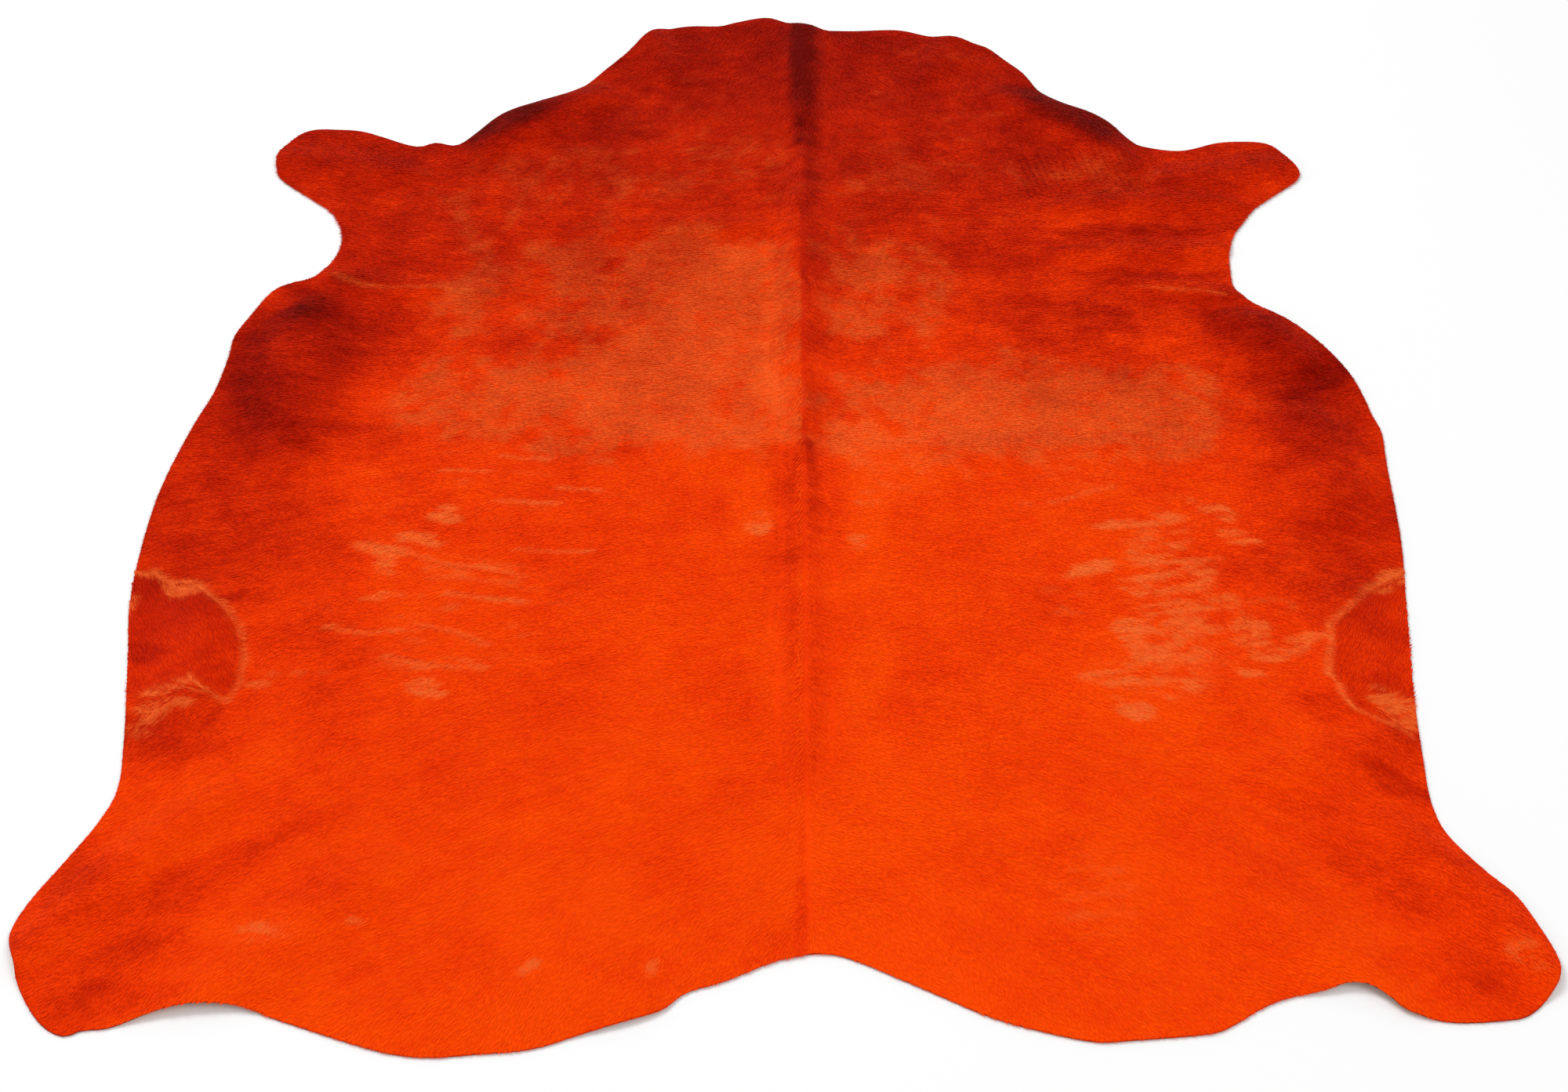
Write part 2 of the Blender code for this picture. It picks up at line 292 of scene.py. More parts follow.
DEPTH_PATCHES = (
    Patch("left shoulder, front", -780, 340, 75, 65, -10, 0.14),
    Patch("left armpit, inside", -690, 430, 55, 50, 0, 0.1),
    Patch("left ribs, outside", -700, -280, 70, 85, 0, 0.07),
    Patch("right flank, low", 860, -615, 55, 45, -20, 0.14),
    Patch("spine, left bank", 4, 285, 20, 170, 0, 0.08),
    Patch("glow of the right rump", 425, -860, 95, 90, 0, -0.06),
    Patch("left flank, behind", -895, -615, 75, 60, 0, 0.17),
    Patch("left shoulder, rim", -855, 205, 40, 65, 0, 0.1),
    Patch("left armpit, behind", -725, 495, 50, 50, 0, 0.1),
    Patch("left belly, inside", -900, -95, 60, 45, 0, 0.08),
    Patch("right shoulder, rim", 885, 170, 55, 40, -40, 0.05),
    Patch("right shoulder, low", 815, -60, 85, 40, 0, 0.08),
    Patch("right withers, red", 450, 310, 100, 60, 0, 0.11),
    Patch("right front leg, ahead", 780, 685, 120, 40, 25, 0.08),
    Patch("right foot, inside", 865, -1010, 75, 45, -20, 0.05),
    Patch("left foot, inside", -855, -1050, 85, 30, -5, 0.16),
    Patch("left neck, outside", -475, 660, 85, 65, 0, 0.08),
    Patch("left withers, middle", -375, 225, 80, 75, 0, 0.08),
    Patch("left side", -795, -500, 215, 355, 0, 0.08),
    Patch("right side", 775, -530, 190, 355, 0, 0.07),
    Patch("glow left of the crease", -50, -115, 35, 75, 0, -0.2),
    Patch("glow right of the crease", 120, -140, 35, 75, 0, -0.2),
    Patch("right armpit, below", 750, 270, 60, 55, -25, 0.15),
    Patch("glow left of the spine", -13, -455, 40, 75, 0, -0.18),
    Patch("glow right of the spine", 125, -455, 40, 75, 0, -0.18),
    Patch("glow of the left withers", -95, -25, 85, 75, 0, -0.14),
    Patch("glow of the right withers", 165, -29, 75, 85, 0, -0.12),
    Patch("glow of the left ribs", -440, -470, 80, 75, 0, -0.06),
    Patch("glow of the right ribs", 500, -555, 95, 105, 0, -0.09),
    Patch("glow of the left rump", -265, -915, 125, 65, 0, -0.08),
    Patch("glow of the left thigh", -615, -805, 100, 45, 0, -0.07),
    Patch("glow by the left hock", -695, -925, 85, 40, 5, -0.09),
    Patch("left withers, front", -150, 480, 155, 50, 0, -0.09),
    Patch("right withers, front", 250, 500, 105, 50, 0, -0.08),
    Patch("right armpit", 720, 325, 45, 70, 0, 0.2),
    Patch("right shoulder, band", 810, 24, 115, 55, -10, 0.2),
    Patch("left shoulder, band", -675, 14, 85, 50, 0, 0.22),
    Patch("left shoulder, inside", -660, 240, 80, 85, -10, 0.15),
    Patch("right neck, outside", 540, 450, 105, 80, 0, 0.08),
    Patch("left flank, below", -855, -585, 90, 75, 0, 0.17),
    Patch("right flank, below", 885, -550, 40, 90, 0, 0.14),
    Patch("right flank, behind", 775, -540, 60, 20, -15, 0.14),
    Patch("right flank, rim", 910, -275, 40, 95, 0, -0.14),
    Patch("left hock valley", -755, -830, 95, 40, 35, 0.22),
    Patch("left foot valley", -885, -995, 55, 35, 30, 0.1),
    Patch("left thigh, rim", -940, -845, 150, 40, 60, 0.08),
    Patch("left foot, end", -940, -1090, 60, 40, 0, 0.08),
    Patch("right hock valley", 800, -845, 120, 40, -45, 0.13),
    Patch("right hock, fold", 710, -720, 85, 18, -25, 0.07),
    Patch("right foot, end", 915, -1005, 60, 40, -25, 0.05),
    Patch("right flank pit, front", 830, -310, 25, 13, -55, 0.1),
    Patch("left front leg", -810, 700, 110, 100, 0, -0.07),
    Patch("right front leg", 830, 700, 90, 80, 0, -0.06),
    Patch("withers by the spine", -60, 300, 110, 210, 0, -0.14),
    Patch("left shoulder", -795, 190, 105, 175, 10, 0.3),
    Patch("left shoulder, light spot", -835, 350, 35, 30, 0, -0.22),
    Patch("right shoulder", 845, 225, 90, 140, -15, 0.31),
    Patch("left belly", -970, -90, 250, 260, 0, 0.3),
    Patch("right belly", 970, -110, 220, 280, 0, 0.26),
    Patch("left neck edge", -460, 825, 110, 45, 40, 0.3),
    Patch("right neck edge", 520, 850, 140, 55, -45, 0.3),
    Patch("left armpit", -680, 335, 110, 60, 0, 0.2),
    Patch("right armpit, upper valley", 610, 535, 160, 15, 0, 0.14),
    Patch("right armpit, lower valley", 610, 420, 140, 13, 0, 0.12),
    Patch("fold pit", 48, 7, 6, 8, 0, 0.3),
    Patch("spine slit", 38, 390, 4, 20, 10, 0.2),
    Patch("left hind leg", -940, -960, 150, 160, 0, 0.14),
    Patch("right hind leg", 960, -960, 150, 160, 0, 0.14),
    Patch("right stifle", 865, -680, 60, 20, -35, 0.2),
    Patch("right flank, inside", 880, -420, 70, 130, 0, -0.09),
    Patch("left flank edge", -925, -435, 30, 12, 0, 0.2),
    Patch("left flank pit, front", -805, -320, 25, 9, 25, 0.2),
    Patch("left flank pit, back", -800, -555, 9, 30, -40, 0.12),
)

# Painted sheen, where the brushed nap reflects the light in salmon: broad fields, which noise
# breaks up, and spots.
PAINTED_SHEEN_FIELDS = (
    Patch("left withers, front", -360, 400, 150, 110, 0, 0.2),
    Patch("right neck, comb band", 505, 690, 115, 26, 14, 0.35),
    Patch("left withers, front edge", -570, 430, 70, 75, 0, -0.25),
    Patch("left withers, back", -380, 24, 55, 45, 0, -0.18),
    Patch("right withers, back", 530, 150, 80, 50, 0, -0.12),
    Patch("left neck, edge", -475, 660, 85, 65, 0, -0.2),
    Patch("right neck, edge", 520, 675, 85, 60, 0, -0.2),
    Patch("left withers, middle", -375, 225, 80, 75, 0, 0.14),
    Patch("left withers, low edge", -130, 24, 130, 35, 0, 0.36),
    Patch("right withers, low edge", 185, 24, 110, 35, 0, 0.45),
    Patch("right withers, by the spine", 140, 250, 70, 40, 0, 0.3),
    Patch("right withers, gap", 445, -46, 55, 25, 0, -0.45),
    Patch("left withers, edge", -635, 265, 75, 115, 0, -0.3),
    Patch("left withers, corner", -505, 65, 60, 50, 0, 0.35),
    Patch("right withers, corner", 605, 14, 60, 40, 0, 0.75),
    Patch("left withers", -310, 300, 330, 230, 0, 0.52),
    Patch("left withers, inner", -90, 330, 130, 230, 0, 0.6),
    Patch("left withers, low", -240, 90, 330, 120, 0, 0.6),
    Patch("left neck", -440, 640, 190, 100, 0, 0.38),
    Patch("left neck, inner", -150, 710, 190, 90, 0, 0.28),
    Patch("left neck, front", -230, 840, 190, 60, 0, 0.16),
    Patch("right withers", 390, 90, 300, 125, 0, 0.95),
    Patch("right withers, top", 170, 400, 110, 170, 0, 0.5),
    Patch("right withers, low", 330, -30, 260, 70, 0, 0.5),
    Patch("right neck", 500, 680, 140, 60, 0, 0.5),
    Patch("right neck, inner", 160, 690, 120, 80, 0, 0.2),
)

PAINTED_SHEEN_SPOTS = (
    Patch("right ribs, haze", 580, -315, 70, 190, 0, 0.34),
    Patch("right ribs, haze, outer", 690, -410, 50, 90, 0, 0.12),
    Patch("left flank, front", -885, -300, 30, 13, -20, 0.85),
    Patch("left flank, front rim", -940, -270, 35, 10, -10, 0.55),
    Patch("left flank, rim", -950, -330, 12, 35, 0, 0.35),
    Patch("left flank, back", -875, -520, 50, 30, 10, 0.62),
    Patch("left flank, back rim", -895, -580, 35, 30, 0, 0.45),
    Patch("right flank, back", 880, -555, 50, 30, -50, 0.95),
    Patch("spine, left", -41, -165, 20, 25, 0, 0.5),
    Patch("spine, right", 125, -110, 25, 20, 0, 0.5),
    Patch("spine, right, back", 110, -200, 16, 20, 0, 0.4),
    Patch("left ribs", -505, -150, 25, 25, 0, 0.85),
    Patch("left ribs, outer", -540, -205, 35, 13, -10, 0.68),
    Patch("left ribs, streak", -600, -220, 50, 14, -20, 0.65),
    Patch("left ribs, hook", -585, -260, 15, 30, 25, 0.8),
    Patch("left ribs, low", -590, -325, 25, 11, 0, 0.7),
    Patch("left ribs, low, inner", -545, -325, 20, 11, 0, 0.7),
    Patch("left ribs, back", -500, -505, 30, 18, -25, 0.85),
    Patch("left flank, beside", -720, -480, 60, 16, 5, 0.4),
    Patch("right ribs, front", 655, -140, 35, 15, -35, 0.95),
    Patch("right ribs, outer", 695, -200, 30, 17, -30, 0.95),
    Patch("right ribs, inner", 460, -260, 35, 13, 15, 0.9),
    Patch("right ribs, top", 570, -160, 35, 16, 10, 0.6),
    Patch("right ribs, top, inner", 500, -175, 40, 14, 10, 0.55),
    Patch("right ribs, upper", 560, -230, 40, 14, 10, 0.6),
    Patch("right ribs, bright", 600, -290, 50, 20, 15, 1.2),
    Patch("right ribs, beside", 535, -295, 30, 17, 0, 0.85),
    Patch("right ribs, small", 555, -340, 20, 12, 0, 0.75),
    Patch("right ribs, streak", 565, -395, 95, 13, 45, 1.2),
    Patch("right ribs, lower", 510, -400, 25, 30, 0, 1.1),
    Patch("right ribs, spot", 665, -330, 12, 15, 0, 0.9),
    Patch("right ribs, pair", 685, -385, 30, 35, 0, 0.65),
    Patch("right ribs, pair, low", 670, -465, 18, 11, 0, 0.75),
    Patch("right ribs, back, inner", 470, -490, 45, 15, 0, 1.1),
    Patch("right ribs, back", 552, -490, 36, 18, 0, 0.9),
    Patch("right ribs, back, low", 495, -535, 30, 20, 0, 0.85),
    Patch("right flank, beside", 750, -420, 50, 20, 25, 0.5),
    Patch("right flank, front", 890, -280, 40, 19, 30, 0.75),
    Patch("left thigh", -695, -940, 40, 17, 0, 0.7),
    Patch("left thigh, inner", -565, -925, 14, 9, 0, 0.5),
    Patch("left rump", -330, -1000, 14, 9, 0, 0.6),
    Patch("left rump, inner", -175, -1005, 8, 14, 20, 0.6),
    Patch("right rump", 420, -880, 60, 90, 0, 0.22),
    Patch("right hind leg", 985, -985, 30, 40, 30, 0.35),
)

# Where fine pale wrinkles, drawn into the painted sheen, cross the coat, and how steeply they run.
WRINKLE_PATCHES = (
    Patch("neck, left", -150, 860, 260, 280, 10, 0.8),
    Patch("neck, right", 230, 860, 260, 280, -5, 0.8),
    Patch("neck by the spine", 0, 660, 120, 110, 0, 0.7),
    Patch("left ribs", -510, -300, 190, 190, -10, 0.8),
    Patch("left withers, low", -360, -60, 230, 70, -5, 0.5),
    Patch("right ribs", 580, -300, 190, 210, 10, 0.8),
    Patch("right withers, low", 420, -70, 260, 60, 5, 0.5),
)

# Stripes along the spine. The neck's and the withers' are the spine's dark hair with painted shade
# of its valley and crease on them, the valleys' stripes and the crease's shade are painted shade,
# the ridge's and the crease's light are painted light, and the tail's are dark hair.
SPINE_STRIPES = (
    Stripe("neck stripe", 752, 1130, 32, 46, 30, 32, 0.31),
    Stripe("withers stripe", 596, 744, 41, 48, 8, 32, 0.13),
    Stripe("withers stripe, back", 556, 680, 36, 48, 34, 34, 0.09),
    Stripe("shade of the crease", 6, 600, 36, 42, 7, 50, 0.08),
    Stripe("light of the crease", 6, 590, -20, 26, 34, 9, -0.1),
    Stripe("left valley", -450, -20, 14, 20, 14, 6, 0.08),
    Stripe("left valley, back", -760, -420, 14, 20, 14, 6, 0.04),
    Stripe("light ridge", -640, 0, 24, 30, 5, 5, -0.05),
    Stripe("right valley", -150, 10, 40, 47, 7, 24, 0.16),
    Stripe("right valley, back", -640, -130, 40, 46, 5, 22, 0.04),
    Stripe("tail hair", -860, -754, 27, 31, 6, 5, 0.14),
    Stripe("tail hair, back", -990, -846, 22, 31, 8, 8, 0.16),
)

# The storage folds, past which the painted sheen thins out.
PAINTED_SHEEN_STOPS = (PaintedSheenStop(538, -270, 33, 1, 0.55), PaintedSheenStop(-2, 52, 560, -1, 0.5))

# Where a comb left ticks on the coat, as X and Y spans in millimetres, with how softly the
# spans end and how far apart the ticks are.
COMB_MARKS = ((408, 614, 617, 736), (478, 573, 274, 372))
COMB_SOFT = (14, 12)
COMB_PITCH = 12

PARTINGS = (
    Line("left flank", 2.3, 1.0, (
        (-936, -262), (-900, -290), (-870, -294), (-835, -323), (-801, -364), (-780, -402),
        (-776, -446), (-779, -499), (-790, -531),
    )),
    Line("left flank, back", 2.8, 0.7, ((-792, -531), (-822, -513), (-850, -488))),
    Line("right flank", 2.8, 1.0, (
        (926, -262), (870, -302), (833, -350), (800, -382), (799, -410), (790, -450),
        (786, -478), (796, -500), (813, -546),
    )),
    Line("right flank, back", 3.0, 0.5, ((813, -549), (849, -559), (887, -600))),
    Line("left armpit", 3.0, 0.3, (
        (-740, 414), (-704, 388), (-660, 377), (-580, 378), (-509, 372),
    )),
    Line("right armpit", 3.0, 0.3, ((590, 384), (650, 370), (724, 362))),
    Line("left withers, outer", 2.0, 0.8, ((-524, -52), (-448, -57))),
    Line("left withers, middle", 2.0, 0.8, ((-436, -116), (-384, -122), (-331, -121))),
    Line("left withers, front", 2.0, 0.7, ((-435, -22), (-352, -27))),
    Line("left withers, inner", 2.0, 0.8, ((-341, -88), (-273, -93))),
    Line("left ribs, second", 2.0, 0.8, ((-400, -222), (-340, -226), (-280, -222))),
    Line("left ribs, third", 2.0, 0.9, ((-590, -214), (-520, -249), (-437, -258), (-377, -279))),
    Line("left ribs, fourth", 2.4, 1.0, ((-495, -310), (-430, -327), (-376, -332))),
    Line("left ribs, fifth", 2.4, 1.0, ((-523, -380), (-480, -392), (-426, -418))),
    Line("left ribs, sixth", 2.4, 1.0, ((-668, -380), (-622, -392), (-555, -389))),
    Line("left ribs, seventh", 2.4, 1.0, ((-576, -439), (-515, -458), (-461, -467))),
    Line("left ribs, eighth", 2.4, 1.0, ((-463, -446), (-426, -463))),
    Line("right ribs, first", 2.4, 0.9, ((420, -282), (455, -270), (487, -246))),
    Line("right ribs, second", 2.2, 0.8, ((519, -243), (601, -250), (660, -237))),
    Line("right ribs, third", 2.2, 0.7, ((409, -124), (507, -90))),
    Line("right ribs, fourth", 2.4, 0.85, ((684, -441), (731, -436), (794, -402))),
    Line("right ribs, fifth", 2.2, 0.8, ((484, -386), (553, -390))),
)
FLANK_ARCS = ("left flank", "right flank")

# The studio's soft lamps, the key from the left behind the neck.
LAMPS = (
    Lamp("key", (-5.0, 3.5, 8.0), 4.0, 430.0),
    Lamp("fill", (5.0, -4.0, 7.0), 4.0, 150.0),
)


def smoothstep(low: float, high: float, x: np.ndarray) -> np.ndarray:
    """Steps smoothly from 0 at low to 1 at high: 3t² - 2t³ of x's share t of the way."""
    t = np.clip((x - low) / (high - low), 0, 1)
    return t * t * (3 - 2 * t)


def unit(vectors: np.ndarray) -> np.ndarray:
    """Returns the vectors, which lie along the last axis, at length 1."""
    return vectors / np.maximum(np.linalg.norm(vectors, axis=-1, keepdims=True), 1e-12)


def linear(red: float, green: float, blue: float) -> Colour:
    """Turns a screen colour of 0 to 255 into the linear one that shaders use."""
    shares = (value / 255 for value in (red, green, blue))
    return tuple(s / 12.92 if s <= 0.04045 else ((s + 0.055) / 1.055) ** 2.4 for s in shares)


class Noise:
    """Smooth noise on a plane, from random numbers on a wrapped lattice."""

    LATTICE = 256

    def __init__(self, seed: int) -> None:
        """Draws the lattice's numbers from the seed."""
        self.table = np.random.default_rng(seed).uniform(-1, 1, (self.LATTICE, self.LATTICE))

    def single(self, x: np.ndarray, y: np.ndarray) -> np.ndarray:
        """Joins the lattice's numbers by smooth steps in x and y, from -1 to 1."""
        low_x, low_y = np.floor(x).astype(int), np.floor(y).astype(int)
        tx, ty = smoothstep(0, 1, x - low_x), smoothstep(0, 1, y - low_y)
        ax, ay = low_x % self.LATTICE, low_y % self.LATTICE
        bx, by = (ax + 1) % self.LATTICE, (ay + 1) % self.LATTICE
        near = self.table[ay, ax] * (1 - tx) + self.table[ay, bx] * tx
        far = self.table[by, ax] * (1 - tx) + self.table[by, bx] * tx
        return near * (1 - ty) + far * ty

    def layered(
        self, points: np.ndarray, size: tuple[float, float], layers: int, fade: float = 0.55
    ) -> np.ndarray:
        """Adds up layers of noise, each half as large as the one before and fainter.

        Args:
            points: Places, with X and Y along the last axis, in metres.
            size: How long the first layer's spots are in X and Y, in metres.
            layers: How many layers there are.
            fade: How strong each layer is beside the one before.

        Returns:
            The noise at each place, roughly from -1 to 1.
        """
        x, y = points[..., 0] / size[0], points[..., 1] / size[1]
        total = np.zeros(x.shape)
        for layer in range(layers):
            total += fade**layer * self.single(x * 2**layer, y * 2**layer + 37 * layer)
        return total / sum(fade**layer for layer in range(layers))


@dataclass(frozen=True)
class PlanField:
    """Numbers on an even plan lattice, read between its points in straight lines."""

    low: np.ndarray
    step: float
    values: np.ndarray

    @staticmethod
    def lattice(step: float, margin: float) -> tuple[np.ndarray, np.ndarray]:
        """Spreads a lattice over the frame's box.

        Args:
            step: The distance between its points, in metres.
            margin: How far it goes past the box, in metres.

        Returns:
            The lattice's lowest corner and its points, rows along Y and columns along X.
        """
        low = np.array(CAD_BOX[0][:2]) - margin
        high = np.array(CAD_BOX[1][:2]) + margin
        x, y = (np.arange(a, b + step, step) for a, b in zip(low, high))
        return low, np.stack(np.meshgrid(x, y), axis=-1)

    def at(self, points: np.ndarray) -> np.ndarray:
        """Reads the field at points in plan, between its four nearest values."""
        place = (points[..., :2] - self.low) / self.step
        rows, columns = self.values.shape[:2]
        place = np.clip(place, 0, np.array([columns - 1.001, rows - 1.001]))
        cell = place.astype(int)
        t = place - cell
        tx, ty = t[..., :1], t[..., 1:]
        x, y = cell[..., 0], cell[..., 1]
        near = self.values[y, x] * (1 - tx) + self.values[y, x + 1] * tx
        far = self.values[y + 1, x] * (1 - tx) + self.values[y + 1, x + 1] * tx
        return near * (1 - ty) + far * ty


def fold_height(folds: Sequence[Fold], points: np.ndarray) -> np.ndarray:
    """Adds up folds over the plan.

    Along a fold u runs from -1 to 1, and across it v is 0 on the bowed crest and 1 at the
    foot. The height is a squared cosine of v, and it fades as 1 - u⁴ to nothing at the ends.

    Args:
        folds: The rows of a fold table, in millimetres.
        points: Places, with X and Y along the last axis, in metres.

    Returns:
        The height at each place, in metres.
    """
    height = np.zeros(points.shape[:-1])
    for fold in folds:
        start = np.array([fold.start_across, fold.start_along]) * MM
        end = np.array([fold.end_across, fold.end_along]) * MM
        middle, half_run = (start + end) / 2, (end - start) / 2
        across = np.array([-half_run[1], half_run[0]]) / np.linalg.norm(half_run)
        u = np.clip((points - middle) @ half_run / (half_run @ half_run), -1, 1)
        crest = fold.bow * MM * (1 - u**2)
        reach = fold.reach * MM * (REACH_AT_ENDS + (1 - REACH_AT_ENDS) * (1 - u**2))
        v = np.clip(np.abs((points - middle) @ across - crest) / reach, 0, 1)
        height += fold.height * MM * (1 - u**4) * np.cos(v * np.pi / 2) ** 2
    return height


@dataclass(frozen=True)
class Relief:
    """How high the hide lies: the solid's folds, and the coat's fine creases and wrinkles."""

    step: float = 2 * MM
    margin: float = 24 * MM
    swell: float = 0.5 * MM
    wrinkle: float = 0.35 * MM

    def field(self) -> PlanField:
        """Works out the relief.

        Returns:
            A field of four numbers: the folds' height, the height with the fine relief, and
            the slopes of the latter along X and Y.
        """
        low, points = PlanField.lattice(self.step, self.margin)
        folds = fold_height(FOLDS, points)
        soft = self.swell * Noise(11).layered(points, (0.13, 0.1), 3)
        neck = smoothstep(0.45, 0.8, points[..., 1])
        wrinkles = self.wrinkle * neck * Noise(12).layered(points, (0.07, 0.008), 2)
        total = folds + fold_height(CREASES, points) + soft + wrinkles
        slope_y, slope_x = np.gradient(total, self.step)
        return PlanField(low, self.step, np.stack([folds, total, slope_x, slope_y], axis=-1))


def smooth_curve(knots: np.ndarray, closed: bool, pieces: int) -> np.ndarray:
    """Runs a Catmull-Rom curve through knots.

    Each piece between two knots is the cubic whose slope at a knot is half the step from the
    knot before it to the one after.

    Args:
        knots: Points, one a row.
        closed: Whether the curve comes back to its first knot.
        pieces: How many points to work out from one knot to the next.

    Returns:
        The curve's points, with the last knot too if it is open.
    """
    if closed:
        before, after = np.roll(knots, 1, axis=0), np.roll(knots, -1, axis=0)
        beyond, here = np.roll(knots, -2, axis=0), knots
    else:
        ends = np.vstack([2 * knots[0] - knots[1], knots, 2 * knots[-1] - knots[-2]])
        before, here, after, beyond = ends[:-3], ends[1:-2], ends[2:-1], ends[3:]
    t = np.linspace(0, 1, pieces, endpoint=False)[None, :, None]
    a, b, c, d = (p[:, None, :] for p in (before, here, after, beyond))
    curve = 2 * b + (c - a) * t + (2 * a - 5 * b + 4 * c - d) * t**2
    curve = (curve + (3 * b - a - 3 * c + d) * t**3).reshape(-1, 2) / 2
    return curve if closed else np.vstack([curve, knots[-1:]])


def spaced(curve: np.ndarray, count: int) -> np.ndarray:
    """Returns count points evenly spaced along an open curve, its ends among them."""
    length = np.concatenate([[0], np.cumsum(np.linalg.norm(np.diff(curve, axis=0), axis=1))])
    places = np.linspace(0, length[-1], count)
    return np.stack([np.interp(places, length, axis) for axis in curve.T], axis=1)


@dataclass(frozen=True)
class Ribs:
    """The plan of the hide as a grid for each flank.

    Row i follows a rib and column j runs from the spine, j = 0, to the rim. The grids share
    their spine points, and the rows to the notches at the neck and the tail.
    """

    grids: dict[Side, np.ndarray]

    CURVE_PIECES = 16
    ROWS = 380
    COLUMNS = 73
    COARSE = (120, 24)
    COARSE_ROUNDS = 900
    FINE_ROUNDS = 60
    LAST_ROUNDS = 4

    @classmethod
    def from_rim(cls) -> "Ribs":
        """Solves both grids from the rim, coarse and then fine, and spaces each rib evenly."""
        knots = np.array([point for rows in RIM.values() for point in rows]) * MM
        curve = smooth_curve(knots, closed=True, pieces=cls.CURVE_PIECES)
        curve -= (curve.max(axis=0) + curve.min(axis=0)) / 2
        notch = cls.CURVE_PIECES * sum(len(RIM[name]) for name in LEFT_STRETCHES)
        halves = {
            Side.LEFT: curve[: notch + 1],
            Side.RIGHT: np.vstack([curve[notch:], curve[:1]])[::-1],
        }
        neck = curve[0] - np.array([0, SPINE_INSET])
        tail = curve[notch] + np.array([0, SPINE_INSET])
        coarse = {
            side: cls.relaxed(cls.fan(spaced(half, cls.COARSE[0]), neck, tail, cls.COARSE[1]),
                              neck, tail, cls.COARSE_ROUNDS, sliding=True)
            for side, half in halves.items()
        }
        spine = sum(grid[:, 0] for grid in coarse.values()) / 2
        grids = {}
        for side, half in halves.items():
            grid = cls.stretched(coarse[side], cls.ROWS, cls.COLUMNS)
            grid[:, -1] = spaced(half, cls.ROWS)
            grid[:, 0] = cls.stretched(spine[:, None], cls.ROWS, 1)[:, 0]
            for row in (0, -1):
                grid[row] = np.linspace(grid[row, 0], grid[row, -1], cls.COLUMNS)
            grid = cls.relaxed(grid, neck, tail, cls.FINE_ROUNDS, sliding=False)
            grid = np.stack([spaced(rib, cls.COLUMNS) for rib in grid])
            grids[side] = cls.relaxed(grid, neck, tail, cls.LAST_ROUNDS, sliding=False)
        return cls(grids)

    @staticmethod
    def fan(rim: np.ndarray, neck: np.ndarray, tail: np.ndarray, columns: int) -> np.ndarray:
        """Joins even steps down the spine to the rim's points by straight ribs."""
        spine = np.linspace(neck, tail, len(rim))
        share = np.linspace(0, 1, columns)[None, :, None]
        return spine[:, None] * (1 - share) + rim[:, None] * share

    @staticmethod
    def stretched(grid: np.ndarray, rows: int, columns: int) -> np.ndarray:
        """Returns the grid with other numbers of rows and columns, in straight lines between."""
        for axis, count in ((0, rows), (1, columns)):
            place = np.linspace(0, grid.shape[axis] - 1, count)
            low = np.minimum(place.astype(int), max(grid.shape[axis] - 2, 0))
            high = np.minimum(low + 1, grid.shape[axis] - 1)
            shape = [1, 1, 1]
            shape[axis] = count
            share = (place - low).reshape(shape)
            grid = np.take(grid, low, axis) * (1 - share) + np.take(grid, high, axis) * share
        return grid

    @staticmethod
    def relaxed(
        grid: np.ndarray, neck: np.ndarray, tail: np.ndarray, rounds: int, sliding: bool
    ) -> np.ndarray:
        """Evens a grid out so that no cell folds over and its ribs leave the spine squarely.

        Each point moves to where Winslow's equation g x_uu - 2 b x_uv + a x_vv = 0 holds for
        its neighbours, with a, g and b the squares and the product of the grid's two slopes.

        Args:
            grid: The grid, whose rim and end rows stay put.
            neck: The spine's end at the neck.
            tail: The spine's end at the tail.
            rounds: How many times each point moves.
            sliding: Whether the ribs' feet may slide along the spine.

        Returns:
            The evened grid.
        """
        grid = grid.copy()
        for _ in range(rounds):
            north, south = grid[2:, 1:-1], grid[:-2, 1:-1]
            east, west = grid[1:-1, 2:], grid[1:-1, :-2]
            down, out = (north - south) / 2, (east - west) / 2
            a = (out**2).sum(-1, keepdims=True)
            g = (down**2).sum(-1, keepdims=True)
            b = (out * down).sum(-1, keepdims=True)
            twist = (grid[2:, 2:] - grid[2:, :-2] - grid[:-2, 2:] + grid[:-2, :-2]) / 4
            even = g * (east + west) + a * (north + south) - 2 * b * twist
            grid[1:-1, 1:-1] = even / (2 * (a + g))
            if sliding:
                feet = np.minimum.accumulate(np.clip(grid[1:-1, 1, 1], tail[1], neck[1]))
                grid[1:-1, 0, 1] = (grid[1:-1, 0, 1] + feet) / 2
                share = (neck[1] - grid[:, 0, 1]) / (neck[1] - tail[1])
                grid[:, 0, 0] = neck[0] + share * (tail[0] - neck[0])
        return grid

    def at(self, side: Side, row: np.ndarray, column: np.ndarray) -> np.ndarray:
        """Returns the places at rows and columns, which may lie between the grid's own."""
        grid = self.grids[side]
        i, j = row.astype(int), column.astype(int)
        s, t = (row - i)[:, None], (column - j)[:, None]
        near = grid[i, j] * (1 - t) + grid[i, j + 1] * t
        far = grid[i + 1, j] * (1 - t) + grid[i + 1, j + 1] * t
        return near * (1 - s) + far * s

    def cell_areas(self, side: Side) -> np.ndarray:
        """Returns the area of each of a flank's cells, half the product of its diagonals."""
        grid = self.grids[side]
        p, q = grid[1:, 1:] - grid[:-1, :-1], grid[1:, :-1] - grid[:-1, 1:]
        return np.abs(p[..., 0] * q[..., 1] - p[..., 1] * q[..., 0]) / 2

    def area(self) -> float:
        """Returns the hide's whole area in plan, in square metres."""
        return float(sum(self.cell_areas(side).sum() for side in Side))


def along_path(path: np.ndarray, points: np.ndarray) -> np.ndarray:
    """Returns how far each point is from a path of straight pieces."""
    nearest = np.full(points.shape[:-1], np.inf)
    for start, end in zip(path[:-1], path[1:]):
        run = end - start
        share = np.clip((points - start) @ run / (run @ run), 0, 1)[..., None]
        nearest = np.minimum(nearest, np.linalg.norm(points - start - share * run, axis=-1))
    return nearest


